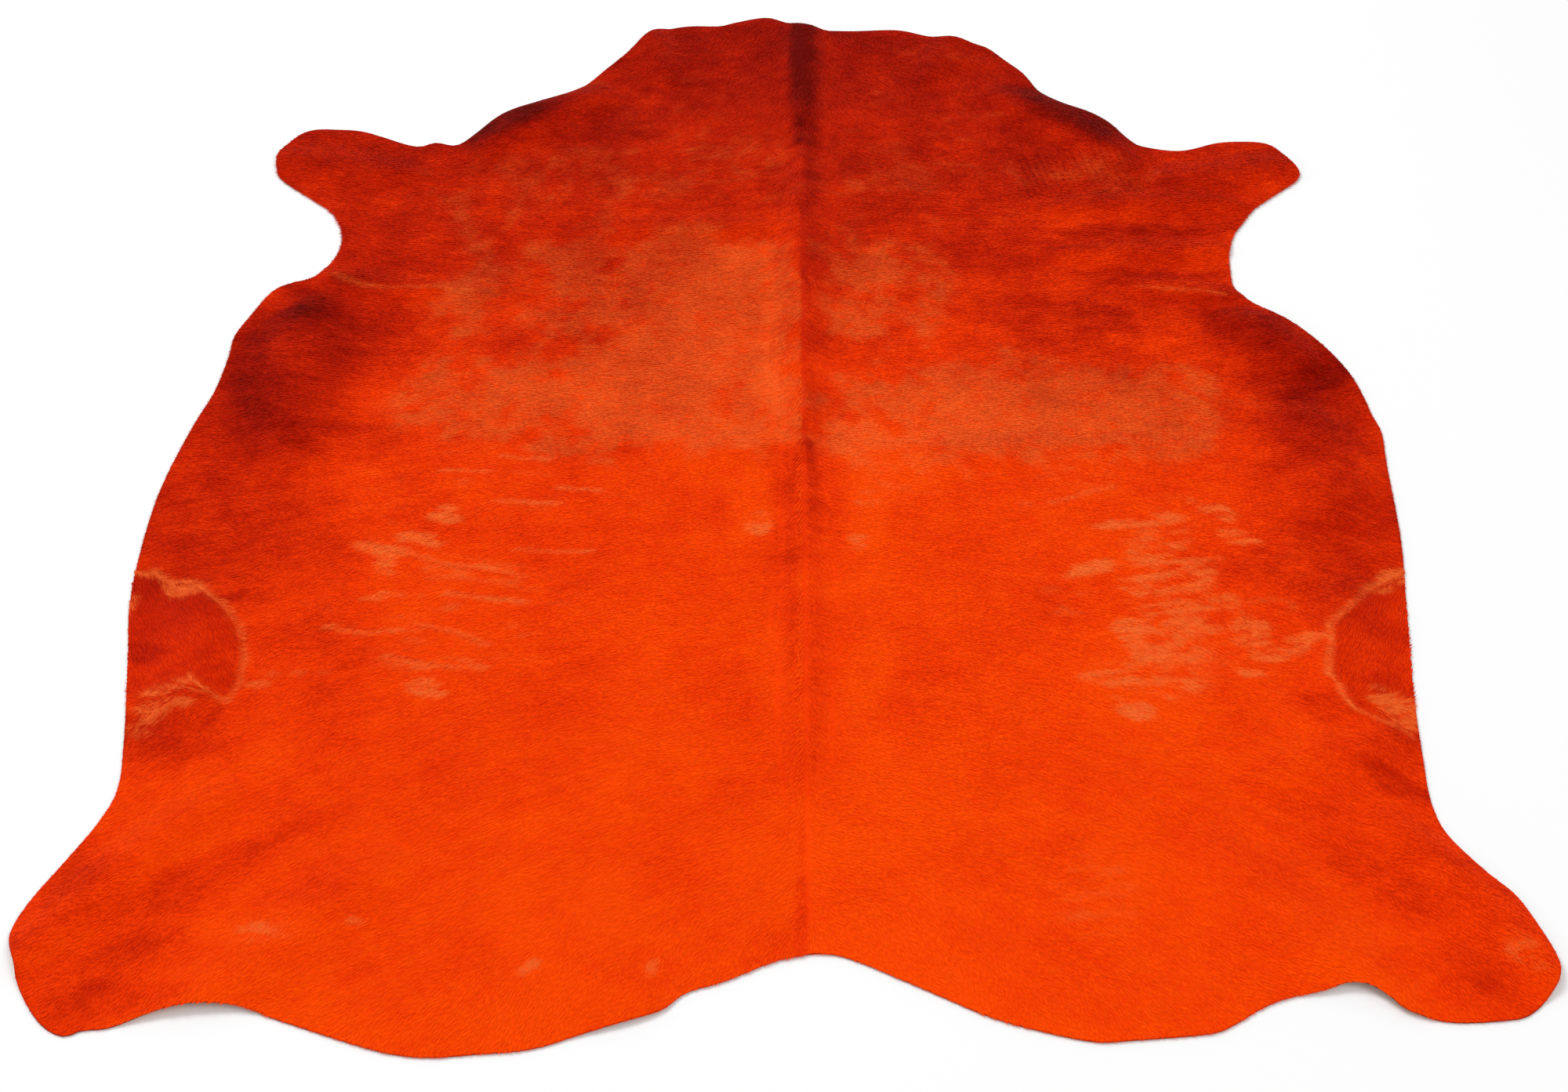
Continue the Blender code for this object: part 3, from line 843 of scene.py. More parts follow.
@dataclass(frozen=True)
class Pattern:
    """The colours of the coat over the plan, as the tables and noise give them.

    The depth holds the dye's tones with painted shade and painted light, and the painted sheen
    is the light that the brushed nap reflects in salmon. The lift is how much brighter a spot of
    painted sheen makes the depth. Clouds are the depth's wide noise and mottles its finer one,
    and calm is the share of both that the flanks lose. The comb's ticks deepen the depth and
    thin the painted sheen. The spots' chance stops at a limit, and noise streaks them.
    """

    step: float = 2 * MM
    margin: float = 24 * MM
    warp: float = 20 * MM
    fray: float = 4 * MM
    spine: float = 33 * MM
    lift: float = 0.12
    clouds: float = 0.17
    mottles: float = 0.2
    calm: float = 0.7
    comb_depth: float = 0.26
    comb_sheen: float = 0.7
    spot_limit: float = 0.82
    spot_streaks: float = 2.6

    def field(self) -> PlanField:
        """Works out the pattern.

        The painted sheen's spots make the depth brighter too, where they cover it.

        Returns:
            A field of four numbers: the depth, with painted shade and light in it, the painted
            sheen's share, the partings' share, and how far a spot lies inside the arcs at the
            flanks, where the nap runs back.
        """
        low, points = PlanField.lattice(self.step, self.margin)
        flanks = self.flanks(points)
        shifts = [
            self.warp * Noise(seed).layered(points, (0.11, 0.07), 2)
            + self.fray * Noise(seed + 1).layered(points, (0.022, 0.012), 2)
            for seed in (21, 23)
        ]
        ragged = points + np.stack(shifts, axis=-1)
        depth = self.depth(points, ragged, 1 - self.calm * flanks) + FLANK_DEPTH * flanks
        spots = self.spots(points, ragged)
        # The painted sheen's spots brighten the coat under them, the painted sheen fades where the
        # coat is dark, and the spots' cores take the partings' pale colour as painted highlights.
        depth -= self.lift * np.clip(spots, 0, 1)
        painted_sheen = self.painted_sheen(points, ragged, spots) * smoothstep(1.05, 0.45, depth)
        partings = np.maximum(self.partings(points), 0.7 * smoothstep(0.6, 1.0, spots))
        layers = (depth, painted_sheen, partings, flanks)
        return PlanField(low, self.step, np.stack(layers, axis=-1))

    @staticmethod
    def patches(patches: Sequence[Patch], points: np.ndarray) -> list[np.ndarray]:
        """Returns each patch's share at points: 1 in its middle, 0.5 at its half sizes."""
        shares = []
        for patch in patches:
            turn = math.radians(patch.turn)
            x, y = points[..., 0] - patch.across * MM, points[..., 1] - patch.along * MM
            u = (x * math.cos(turn) + y * math.sin(turn)) / (patch.half_width * MM)
            v = (y * math.cos(turn) - x * math.sin(turn)) / (patch.half_length * MM)
            shares.append(patch.strength * smoothstep(*PATCH_FADE, np.hypot(u, v)))
        return shares

    def wrinkles(self, points: np.ndarray) -> np.ndarray:
        """Returns the fine pale wrinkles of the painted sheen: where long flat noise, turned,
        passes through zero.
        """
        lines = np.zeros(points.shape[:-1])
        shares = self.patches(WRINKLE_PATCHES, points)
        for seed, (patch, share) in enumerate(zip(WRINKLE_PATCHES, shares)):
            turn = math.radians(patch.turn)
            along = np.array([math.cos(turn), math.sin(turn)])
            across = np.array([-along[1], along[0]])
            turned = np.stack([points @ along, points @ across], axis=-1)
            noise = Noise(100 + seed).layered(turned, (0.13, 0.022), 2)
            faint = smoothstep(-0.1, 0.45, Noise(120 + seed).layered(turned, (0.06, 0.03), 2))
            lines = np.maximum(lines, share * faint * smoothstep(0.11, 0.0, np.abs(noise)))
        return lines

    @staticmethod
    def comb(points: np.ndarray) -> np.ndarray:
        """Returns the comb's ticks: the top of a cosine across X, within soft-edged boxes."""
        x, y = points[..., 0] / MM, points[..., 1] / MM
        wide, high = COMB_SOFT
        wave = np.cos(2 * math.pi * (x + 0.25 * y) / COMB_PITCH)
        ticks = np.zeros(x.shape)
        for left, right, bottom, top in COMB_MARKS:
            box = smoothstep(left - wide, left + wide, x)
            box *= smoothstep(right + wide, right - wide, x)
            upright = smoothstep(bottom - high, bottom + high, y)
            box *= upright * smoothstep(top + high, top - high, y)
            ticks += box * smoothstep(0.2, 0.9, wave)
        return ticks

    def depth(self, points: np.ndarray, ragged: np.ndarray, lively: np.ndarray) -> np.ndarray:
        """Works out how dark the coat looks: the dye's tones, painted shade and painted light.

        It goes down the hide in steps, with the patches and the stripes along the spine
        added, many of them painted shade and some painted light, and soft streaks and small
        flecks of noise.

        Args:
            points: The lattice.
            ragged: The lattice with each point moved a little, so that patches fray.
            lively: The share of the noise at each point.

        Returns:
            The depth at each point, from 0, bright orange, to about 1, dark red.
        """
        x, y = points[..., 0] / MM, points[..., 1] / MM
        along, steps = np.array(DEPTH_ALONG).T
        depth = np.interp(ragged[..., 1] / MM, along, steps)
        depth += sum(self.patches(DEPTH_PATCHES, ragged))
        x = x + 2.5 * Noise(33).layered(points, (0.06, 0.06), 2)
        patchy = 1 + 0.5 * Noise(34).layered(points, (0.03, 0.045), 3)
        for stripe in SPINE_STRIPES:
            inside = smoothstep(stripe.left - stripe.soft_left, stripe.left, x)
            inside *= smoothstep(stripe.right + stripe.soft_right, stripe.right, x)
            inside *= smoothstep(stripe.from_along - 10, stripe.from_along + 10, y)
            inside *= smoothstep(stripe.to_along + 10, stripe.to_along - 10, y)
            depth += stripe.strength * inside * patchy
        depth += self.clouds * lively * Noise(31).layered(points, (0.16, 0.16), 3)
        ahead = 0.7 + 0.3 * smoothstep(-400, 200, y)
        mottles = Noise(32).layered(points, (0.06, 0.05), 5, 0.75)
        depth += self.mottles * ahead * lively * mottles
        return depth + self.comb_depth * self.comb(points)

    def spots(self, points: np.ndarray, ragged: np.ndarray) -> np.ndarray:
        """Returns the painted sheen's spots, frayed, and streaked by noise that runs out and
        forward.
        """
        lean = points[..., 1] - 0.2 * np.abs(points[..., 0] - self.spine)
        along_nap = np.stack([points[..., 0], lean], axis=-1)
        streaks = Noise(46).layered(along_nap, (0.05, 0.0055), 3, 0.7)
        near = points + 0.8 * (ragged - points)
        grain = Noise(49).layered(points, (0.01, 0.006), 2)
        chance = np.minimum(sum(self.patches(PAINTED_SHEEN_SPOTS, near)), self.spot_limit)
        share = smoothstep(0.3, 1.0, chance + self.spot_streaks * streaks + 0.5 * grain)
        return share * smoothstep(0.04, 0.4, chance)

    def painted_sheen(self, points: np.ndarray, ragged: np.ndarray, spots: np.ndarray) -> np.ndarray:
        """Works out the painted sheen, where the brushed nap reflects the light in pale salmon.

        The fields only raise the chance of the painted sheen: it shows where their sum and noise
        pass a threshold, darker smudges and flecks break it up, pale veins cross it, and it ends
        at the spine. The spots keep their own shape, and the pale wrinkles come on top.

        Args:
            points: The lattice.
            ragged: The lattice with each point moved a little, so that patches fray.
            spots: The spots' share at each point.

        Returns:
            The painted sheen's share at each point, from 0 to 1.
        """
        x, y = points[..., 0] / MM, points[..., 1] / MM
        chance = np.zeros(x.shape)
        for patch, share in zip(PAINTED_SHEEN_FIELDS, self.patches(PAINTED_SHEEN_FIELDS, ragged)):
            side = math.copysign(1, patch.across - self.spine / MM)
            chance += share * smoothstep(-7, 7, side * (x - self.spine / MM))
        frayed = y + 5 * Noise(45).layered(points, (0.07, 0.05), 3)
        for stop in PAINTED_SHEEN_STOPS:
            stretch = smoothstep(stop.left - 60, stop.left, x)
            stretch *= smoothstep(stop.right + 60, stop.right, x)
            near = smoothstep(150, 20, stop.side * (y - stop.along))
            edge = smoothstep(-3, 3, stop.side * (frayed - stop.along))
            chance *= 1 - stop.loss * stretch * near * edge
        chance = np.minimum(chance, 1.05)
        broad = Noise(41).layered(points, (0.09, 0.11), 4, 0.75)
        finer = Noise(48).layered(points, (0.026, 0.034), 4, 0.8)
        field = smoothstep(0.15, 0.95, chance + 1.1 * broad + 0.9 * finer)
        field *= smoothstep(0.03, 0.3, chance)
        smudges = smoothstep(0.0, 0.4, Noise(44).layered(points, (0.045, 0.06), 5, 0.8))
        flecks = smoothstep(0.0, 0.5, Noise(42).layered(points, (0.008, 0.01), 2))
        where = smoothstep(-0.2, 0.4, Noise(43).layered(points, (0.2, 0.2), 2))
        field *= 1 - 0.5 * smudges - 0.3 * flecks * where
        veins = smoothstep(0.1, 0.0, np.abs(Noise(47).layered(ragged, (0.06, 0.09), 3, 0.7)))
        field = np.maximum(field, 0.6 * veins * where * smoothstep(0.2, 0.6, chance))
        painted_sheen = np.maximum(field, spots) + self.wrinkles(points)
        return np.clip(painted_sheen - self.comb_sheen * self.comb(points), 0, 1)

    @staticmethod
    def partings(points: np.ndarray) -> np.ndarray:
        """Works out the pale lines where the nap parts, broken up by noise."""
        wander = 6 * MM * Noise(51).layered(points, (0.04, 0.04), 3, 0.6)[..., None]
        breaks = np.clip(1 + 0.7 * Noise(52).layered(points, (0.02, 0.02), 3), 0, 1.3)
        thinner = 1 + 0.5 * Noise(53).layered(points, (0.05, 0.05), 2)
        share = np.zeros(points.shape[:-1])
        for line in PARTINGS:
            gap = along_path(np.array(line.points) * MM, points + wander) / MM * thinner
            core = smoothstep(1.6 * line.half_width, 0.3 * line.half_width, gap)
            halo = 0.16 * smoothstep(4 * line.half_width, 0, gap)
            share = np.maximum(share, line.strength * (core + halo) * breaks)
        return np.clip(share, 0, 1)

    @staticmethod
    def flanks(points: np.ndarray) -> np.ndarray:
        """Works out how far spots lie out past the arcs of the flanks, from 0 to 1."""
        x, y = points[..., 0] / MM, points[..., 1] / MM
        share = np.zeros(x.shape)
        for line in PARTINGS:
            if line.name not in FLANK_ARCS:
                continue
            across, along = np.array(line.points)[::-1].T
            side = math.copysign(1, across[0])
            out = smoothstep(-3, 9, side * (x - np.interp(y, along, across)))
            share += out * smoothstep(along[0] - 10, along[0] + 40, y) * smoothstep(-262, -276, y)
        return share


class Value:
    """A number or colour that a shader works out, with the usual operators for numbers."""

    def __init__(self, graph: "Graph", socket: bpy.types.NodeSocket) -> None:
        """Wraps an output socket of the graph."""
        self.graph = graph
        self.socket = socket

    def _math(self, operation: str, first: Number, second: Number) -> "Value":
        return self.graph.node("ShaderNodeMath", {"operation": operation}, {0: first, 1: second})

    def __add__(self, other: Number) -> "Value":
        return self._math("ADD", self, other)

    def __radd__(self, other: Number) -> "Value":
        return self._math("ADD", other, self)

    def __sub__(self, other: Number) -> "Value":
        return self._math("SUBTRACT", self, other)

    def __rsub__(self, other: Number) -> "Value":
        return self._math("SUBTRACT", other, self)

    def __mul__(self, other: Number) -> "Value":
        return self._math("MULTIPLY", self, other)

    def __rmul__(self, other: Number) -> "Value":
        return self._math("MULTIPLY", other, self)

    def clamped(self) -> "Value":
        """Returns the number kept between 0 and 1."""
        return self.graph.node("ShaderNodeClamp", {}, {"Value": self})


class Graph:
    """The node tree of a new material."""

    def __init__(self, name: str) -> None:
        """Makes the material with an empty tree."""
        self.material = bpy.data.materials.new(name)
        self.material.use_nodes = True
        self.tree = self.material.node_tree
        self.tree.nodes.clear()

    def add(self, kind: str, settings: dict[str, Any], inputs: dict[Any, Any]) -> bpy.types.Node:
        """Adds a node.

        Args:
            kind: The node's type.
            settings: Its properties by name.
            inputs: Values or constants by socket name or number.

        Returns:
            The node.
        """
        made = self.tree.nodes.new(kind)
        for key, setting in settings.items():
            setattr(made, key, setting)
        for key, given in inputs.items():
            if isinstance(given, Value):
                self.tree.links.new(given.socket, made.inputs[key])
            else:
                made.inputs[key].default_value = given
        return made

    def node(
        self, kind: str, settings: dict[str, Any], inputs: dict[Any, Any], output: Any = 0
    ) -> Value:
        """Adds a node and returns one of its outputs, given by name or number."""
        return Value(self, self.add(kind, settings, inputs).outputs[output])

    def mix(self, share: Number, first: Any, second: Any) -> Value:
        """Mixes two colours, each a Value or a linear colour, by share from first to second."""
        first, second = (c if isinstance(c, Value) else (*c, 1) for c in (first, second))
        inputs = {0: share, 6: first, 7: second}
        return self.node("ShaderNodeMix", {"data_type": "RGBA"}, inputs, 2)

    def scaled(self, colour: Any, factor: Number) -> Value:
        """Multiplies a colour, a Value or a linear colour, by a number."""
        inputs = {0: colour, "Scale": factor}
        return self.node("ShaderNodeVectorMath", {"operation": "SCALE"}, inputs)

    def noise(self, scale: float, detail: float, along: float = 1.0) -> Value:
        """Returns noise over the object's own coordinates.

        Args:
            scale: How many of its spots fit into a metre.
            detail: How many finer layers it has.
            along: How much of the scale is left along X, less for longer spots.

        Returns:
            The noise from 0 to 1, mostly from 0.3 to 0.7.
        """
        place = self.node("ShaderNodeTexCoord", {}, {}, "Object")
        inputs = {0: place, 1: (along, 1.0, 1.0)}
        place = self.node("ShaderNodeVectorMath", {"operation": "MULTIPLY"}, inputs)
        inputs = {"Vector": place, "Scale": scale, "Detail": detail}
        return self.node("ShaderNodeTexNoise", {}, inputs, "Fac")

    def finish(self, colour: Any, constants: dict[str, Any]) -> bpy.types.Material:
        """Ends the tree in a Principled surface.

        Args:
            colour: The base colour, a Value or a linear colour.
            constants: The surface's other sockets and their constants.

        Returns:
            The material.
        """
        base = colour if isinstance(colour, Value) else (*colour, 1)
        inputs = {"Base Color": base, **constants}
        surface = self.node("ShaderNodeBsdfPrincipled", {}, inputs)
        self.add("ShaderNodeOutputMaterial", {}, {"Surface": surface})
        return self.material


@dataclass(frozen=True)
class DyedHair:
    """The dyed coat with painted shade and painted sheen, coloured by the numbers that each tuft
    carries in its attribute.

    Mottling and streaking are how far fine noise moves the depth. The factors after them are
    how many times as far it moves the painted sheen and the partings, where there are any.
    """

    ATTRIBUTE = "coat"

    depths: tuple[Colour, ...] = (
        linear(255, 76, 3), linear(245, 58, 3), linear(208, 36, 3), linear(166, 19, 2),
        linear(112, 7, 1),
    )
    # The painted sheen's salmon, and its deeper tone where the coat is dark.
    painted_sheen: Colour = linear(250, 94, 32)
    deep_painted_sheen: Colour = linear(192, 44, 14)
    parting: Colour = linear(246, 110, 46)
    glint: Colour = linear(255, 100, 30)
    spread: float = 0.07
    mottling: float = 0.2
    streaking: float = 0.16
    sheen_mottling: float = 10
    sheen_streaking: float = 18
    parting_streaking: float = 14
    roughness: float = 0.6

    def material(self) -> bpy.types.Material:
        """Mixes the colour by depth, then towards the painted sheen and the partings."""
        graph = Graph("dyed hair")
        settings = {"attribute_name": self.ATTRIBUTE, "attribute_type": "GEOMETRY"}
        carried = graph.add("ShaderNodeAttribute", settings, {})
        colours = {"Color": Value(graph, carried.outputs[0])}
        numbers = graph.add("ShaderNodeSeparateColor", {}, colours)
        depth, painted_sheen, parting = (Value(graph, numbers.outputs[i]) for i in range(3))
        chance = Value(graph, carried.outputs["Alpha"])
        mottle = graph.noise(45.0, 5.0, 0.8) - 0.5
        streaks = graph.noise(260.0, 3.0, 0.3) - 0.5
        depth = depth + self.mottling * mottle + self.streaking * streaks
        sheen_mottle = self.sheen_mottling * self.mottling * mottle
        painted_sheen = painted_sheen * (1.1 + sheen_mottle + self.sheen_streaking * self.streaking * streaks)
        parting = parting * (1 + self.parting_streaking * self.streaking * streaks)
        colour: Any = self.depths[0]
        pieces = len(self.depths) - 1
        for i, shade_between_tufts in enumerate(self.depths[1:]):
            colour = graph.mix((depth * pieces - i).clamped(), colour, shade_between_tufts)
        # The painted sheen: salmon on the bright coat, deeper on the dark.
        pale = graph.mix(((depth - 0.1) * (1 / 0.6)).clamped(), self.painted_sheen, self.deep_painted_sheen)
        colour = graph.mix(painted_sheen.clamped(), colour, pale)
        colour = graph.mix(parting.clamped(), colour, self.parting)
        colour = graph.scaled(colour, 1 - self.spread / 2 + self.spread * chance)
        return graph.finish(colour, {
            "Roughness": self.roughness,
            "Specular IOR Level": 0.05,
            "Specular Tint": (*self.glint, 1),
        })


@dataclass(frozen=True)
class BareLeather:
    """Leather without hair: the napped underside or the trimmed edge, mottled a little."""

    name: str
    dark: Colour
    light: Colour
    scale: float
    roughness: float = 0.9

    def material(self) -> bpy.types.Material:
        """Mixes the two tones by noise."""
        graph = Graph(self.name)
        colour = graph.mix(graph.noise(self.scale, 4.0), self.dark, self.light)
        return graph.finish(colour, {"Roughness": self.roughness, "Specular IOR Level": 0.2})


@dataclass(frozen=True)
class PaleFloor:
    """The studio's seamless floor."""

    tone: float = 0.96

    def material(self) -> bpy.types.Material:
        """Gives the floor one even tone."""
        tone = (self.tone, self.tone, self.tone)
        return Graph("pale floor").finish(tone, {"Roughness": 1.0, "Specular IOR Level": 0.0})


SUEDE = BareLeather("napped underside", linear(178, 106, 60), linear(208, 138, 88), 14.0)
CUT_EDGE = BareLeather("trimmed edge", linear(104, 32, 12), linear(140, 50, 20), 60.0)


def mesh_object(
    name: str, vertices: np.ndarray, faces: Sequence[np.ndarray],
    materials: Sequence[bpy.types.Material], slots: Sequence[int],
) -> bpy.types.Object:
    """Makes an object of faces, all at once.

    Args:
        name: The object's name.
        vertices: Places in metres, one a row.
        faces: Groups of faces, each an array with a face's vertices a row.
        materials: The object's materials.
        slots: Which material each group has.

    Returns:
        The object, in the scene.
    """
    mesh = bpy.data.meshes.new(name)
    sizes = np.concatenate([np.full(len(group), group.shape[1]) for group in faces])
    corners = np.concatenate([group.ravel() for group in faces]).astype(np.int32)
    starts = np.concatenate([[0], np.cumsum(sizes)[:-1]]).astype(np.int32)
    mesh.vertices.add(len(vertices))
    mesh.vertices.foreach_set("co", vertices.astype(np.float32).ravel())
    mesh.loops.add(len(corners))
    mesh.loops.foreach_set("vertex_index", corners)
    mesh.polygons.add(len(starts))
    mesh.polygons.foreach_set("loop_start", starts)
    used = np.concatenate([np.full(len(g), slot) for g, slot in zip(faces, slots)])
    for material in materials:
        mesh.materials.append(material)
    mesh.polygons.foreach_set("material_index", used.astype(np.int32))
    mesh.update(calc_edges=True)
    made = bpy.data.objects.new(name, mesh)
    bpy.context.scene.collection.objects.link(made)
    return made


def set_coat(made: bpy.types.Object, numbers: np.ndarray) -> None:
    """Stores depth, painted sheen, parting and chance for each vertex of an object."""
    layer = made.data.attributes.new(DyedHair.ATTRIBUTE, "FLOAT_COLOR", "POINT")
    layer.data.foreach_set("color", numbers.astype(np.float32).ravel())


def set_map(made: bpy.types.Object, places: np.ndarray) -> None:
    """Stores the places of an object's face corners on its bake map."""
    layer = made.data.uv_layers.new(name="OFBake")
    layer.uv.foreach_set("vector", places.astype(np.float32).ravel())


@dataclass(frozen=True)
class Hide:
    """What every piece reads: the ribs' plan, the relief and the coat's pattern."""

    ribs: Ribs
    relief: PlanField
    pattern: PlanField

    def coat_at(self, points: np.ndarray) -> np.ndarray:
        """Returns the pattern's depth, painted sheen and parting at points, and a chance of 0.5.
        """
        numbers = self.pattern.at(points)
        numbers[..., 3] = 0.5
        return numbers


@dataclass(frozen=True)
class Skin:
    """The leather: one closed sheet with a rounded rim, its ribs shared by both flanks."""

    hide: Hide
    edge_bulge: float = 0.5 * MM
    under_stride: int = 2
    # Painted shade: how much deeper the skin's colour is than the coat's, where it shows between
    # the tufts.
    shade_between_tufts: float = 0.12

    MAP_MARGIN = 0.005
    MAP_PLAN = (0.485, 0.93)
    MAP_TOP = (0.005, 0.065)
    MAP_UNDER = (0.51, 0.065)
    MAP_STRIP = 0.025

    def build(self, hair: bpy.types.Material) -> bpy.types.Object:
        """Makes the sheet's top, underside and rim.

        Args:
            hair: The coat's material, which shows between the tufts.

        Returns:
            The sheet, riding the frame's body in place of the hide's node.
        """
        top, top_faces, top_loop = self.layer(1)
        under, under_faces, under_loop = self.layer(self.under_stride)
        heights = self.hide.relief.at(top)
        top = np.column_stack([top, heights[:, 1] + LEATHER_THICKNESS])
        under = np.column_stack([under, self.hide.relief.at(under)[:, 0]])
        rim = self.rim(top[top_loop], under[under_loop])
        under_loop = under_loop + len(top)
        rim_loop = np.arange(len(rim)) + len(top) + len(under)
        walls = [
            np.column_stack([low, np.roll(low, -1), np.roll(high, -1), high])
            for low, high in ((under_loop, rim_loop), (rim_loop, top_loop))
        ]
        faces = [top_faces, under_faces[:, ::-1] + len(top), np.vstack(walls)]
        places = np.vstack([top, under, rim])
        materials = [hair, SUEDE.material(), CUT_EDGE.material()]
        made = mesh_object("leather", places, faces, materials, (0, 1, 2))
        made.data.shade_smooth()
        numbers = self.hide.coat_at(places)
        # Painted shade between the tufts.
        numbers[:, 0] += self.shade_between_tufts
        set_coat(made, numbers)
        set_map(made, self.islands(places, faces))
        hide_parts(NODE)
        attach(made, BODY)
        LOG.info("leather: %d vertices, %.2f m2 in plan", len(places), self.hide.ribs.area())
        return made

    def layer(self, stride: int) -> tuple[np.ndarray, np.ndarray, np.ndarray]:
        """Joins the flanks' grids into one sheet.

        Args:
            stride: Every which column to keep.

        Returns:
            The points in plan, the faces with their normals up, and the rim's points in turn.
        """
        left, right = (self.hide.ribs.grids[side][:, ::stride] for side in Side)
        rows, columns = left.shape[:2]
        left_ids = np.arange(rows * columns).reshape(rows, columns)
        right_ids = left_ids + rows * columns
        right_ids[:, 0] = left_ids[:, 0]
        right_ids[0] = left_ids[0]
        right_ids[-1] = left_ids[-1]
        points = np.vstack([left.reshape(-1, 2), right.reshape(-1, 2)])
        used, flat = np.unique(np.concatenate([left_ids, right_ids]), return_inverse=True)
        left_ids, right_ids = flat.reshape(2, rows, columns)
        faces = [
            np.stack([ids[:-1, :-1], ids[:-1, 1:], ids[1:, 1:], ids[1:, :-1]], axis=-1)
            for ids in (left_ids[:, ::-1], right_ids)
        ]
        faces = np.vstack([group.reshape(-1, 4)[:, ::-1] for group in faces])
        loop = np.concatenate([left_ids[:, -1], right_ids[-2:0:-1, -1]])
        return points[used], faces, loop

    def rim(self, top: np.ndarray, under: np.ndarray) -> np.ndarray:
        """Returns the ring halfway up the rim, moved out so that the edge is rounded."""
        middle = (top + under) / 2
        along = np.roll(middle, -1, axis=0) - np.roll(middle, 1, axis=0)
        out = unit(np.column_stack([-along[:, 1], along[:, 0], np.zeros(len(along))]))
        return middle - self.edge_bulge * out

    def islands(self, places: np.ndarray, faces: Sequence[np.ndarray]) -> np.ndarray:
        """Lays the top and the underside side by side on the map, and the rim below them."""
        plan = places[:, :2]
        share = (plan - plan.min(axis=0)) / np.ptp(plan, axis=0)
        top = share[faces[0].ravel()] * self.MAP_PLAN + self.MAP_TOP
        under = share[faces[1].ravel()] * self.MAP_PLAN + self.MAP_UNDER
        count = len(faces[2]) // 2
        start = np.tile(np.arange(count), 2) / count
        level = np.repeat([0, 1], count) * self.MAP_STRIP + self.MAP_MARGIN
        across = start[:, None] + np.array([0, 1, 1, 0]) / count
        across = across * (1 - 2 * self.MAP_MARGIN) + self.MAP_MARGIN
        up = level[:, None] + np.array([0, 0, 1, 1]) * self.MAP_STRIP
        rim = np.stack([across, up], axis=-1).reshape(-1, 2)
        return np.vstack([top, under, rim])


@dataclass(frozen=True)
class Strands:
    """Roots of hair in plan, with their nap and lengths, and how each strand's looks differ.

    The looks are a shift of the depth, factors on the painted sheen and the partings, and the
    chance that sets the strand's brightness.
    """

    roots: np.ndarray
    nap: np.ndarray
    lengths: np.ndarray
    looks: np.ndarray

    def only(self, wanted: np.ndarray) -> "Strands":
        """Returns the strands that are wanted."""
        return Strands(*(part[wanted] for part in vars(self).values()))


@dataclass(frozen=True)
class Kites:
    """How strands become faces: each is a narrow kite of two faces, ridged along its middle.

    The waist is how far along a strand it is widest. No strand goes below the least height.
    """

    WAIST = 0.42
    LEAST_HEIGHT = 0.3 * MM

    half_width: float
    root_lift: float
    tip_lift: float
    ridge: float
    droop: float
    seed: int

    def build(
        self, name: str, strands: Strands, hide: Hide, hair: bpy.types.Material
    ) -> bpy.types.Object:
        """Makes one object of all the strands.

        Args:
            name: The object's name.
            strands: The strands.
            hide: The hide they stand on.
            hair: Their material.

        Returns:
            The object, riding the frame's body.
        """
        count = len(strands.roots)
        rng = np.random.default_rng(self.seed)
        nap, length = strands.nap, strands.lengths[:, None]
        across = np.column_stack([-nap[:, 1], nap[:, 0]])
        width = self.half_width * rng.uniform(0.8, 1.2, (count, 1))
        tip = strands.roots + nap * length
        waist = strands.roots + nap * length * self.WAIST
        plan = np.stack([strands.roots, waist - across * width, tip, waist + across * width], 1)
        heights = hide.relief.at(plan)[..., 1] + LEATHER_THICKNESS
        lift = rng.uniform(0.6, 1.4, (count, 1))
        ridge = self.root_lift + self.WAIST * (self.tip_lift - self.root_lift) * lift[:, 0]
        roll = self.ridge * rng.normal(0, 0.8, count)
        heights[:, 0] += self.root_lift
        heights[:, 1] += ridge - self.ridge - roll
        heights[:, 2] += self.tip_lift * lift[:, 0] - self.droop
        heights[:, 3] += ridge - self.ridge + roll
        heights = np.maximum(heights, self.LEAST_HEIGHT)
        places = np.concatenate([plan, heights[..., None]], axis=-1).reshape(-1, 3)
        first = 4 * np.arange(count)[:, None]
        faces = np.vstack([first + (0, 1, 2), first + (0, 2, 3)])
        made = mesh_object(name, places, [faces], [hair], (0,))
        numbers = hide.coat_at(plan)
        numbers[..., 0] += strands.looks[:, None, 0]
        numbers[..., 1:3] *= strands.looks[:, None, 1:3]
        numbers[..., 3] = strands.looks[:, None, 3]
        set_coat(made, numbers)
        share = (places[:, :2] - places[:, :2].min(axis=0)) / np.ptp(places[:, :2], axis=0)
        set_map(made, share[faces.ravel()])
        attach(made, BODY)
        LOG.info("%s: %d strands", name, count)
        return made


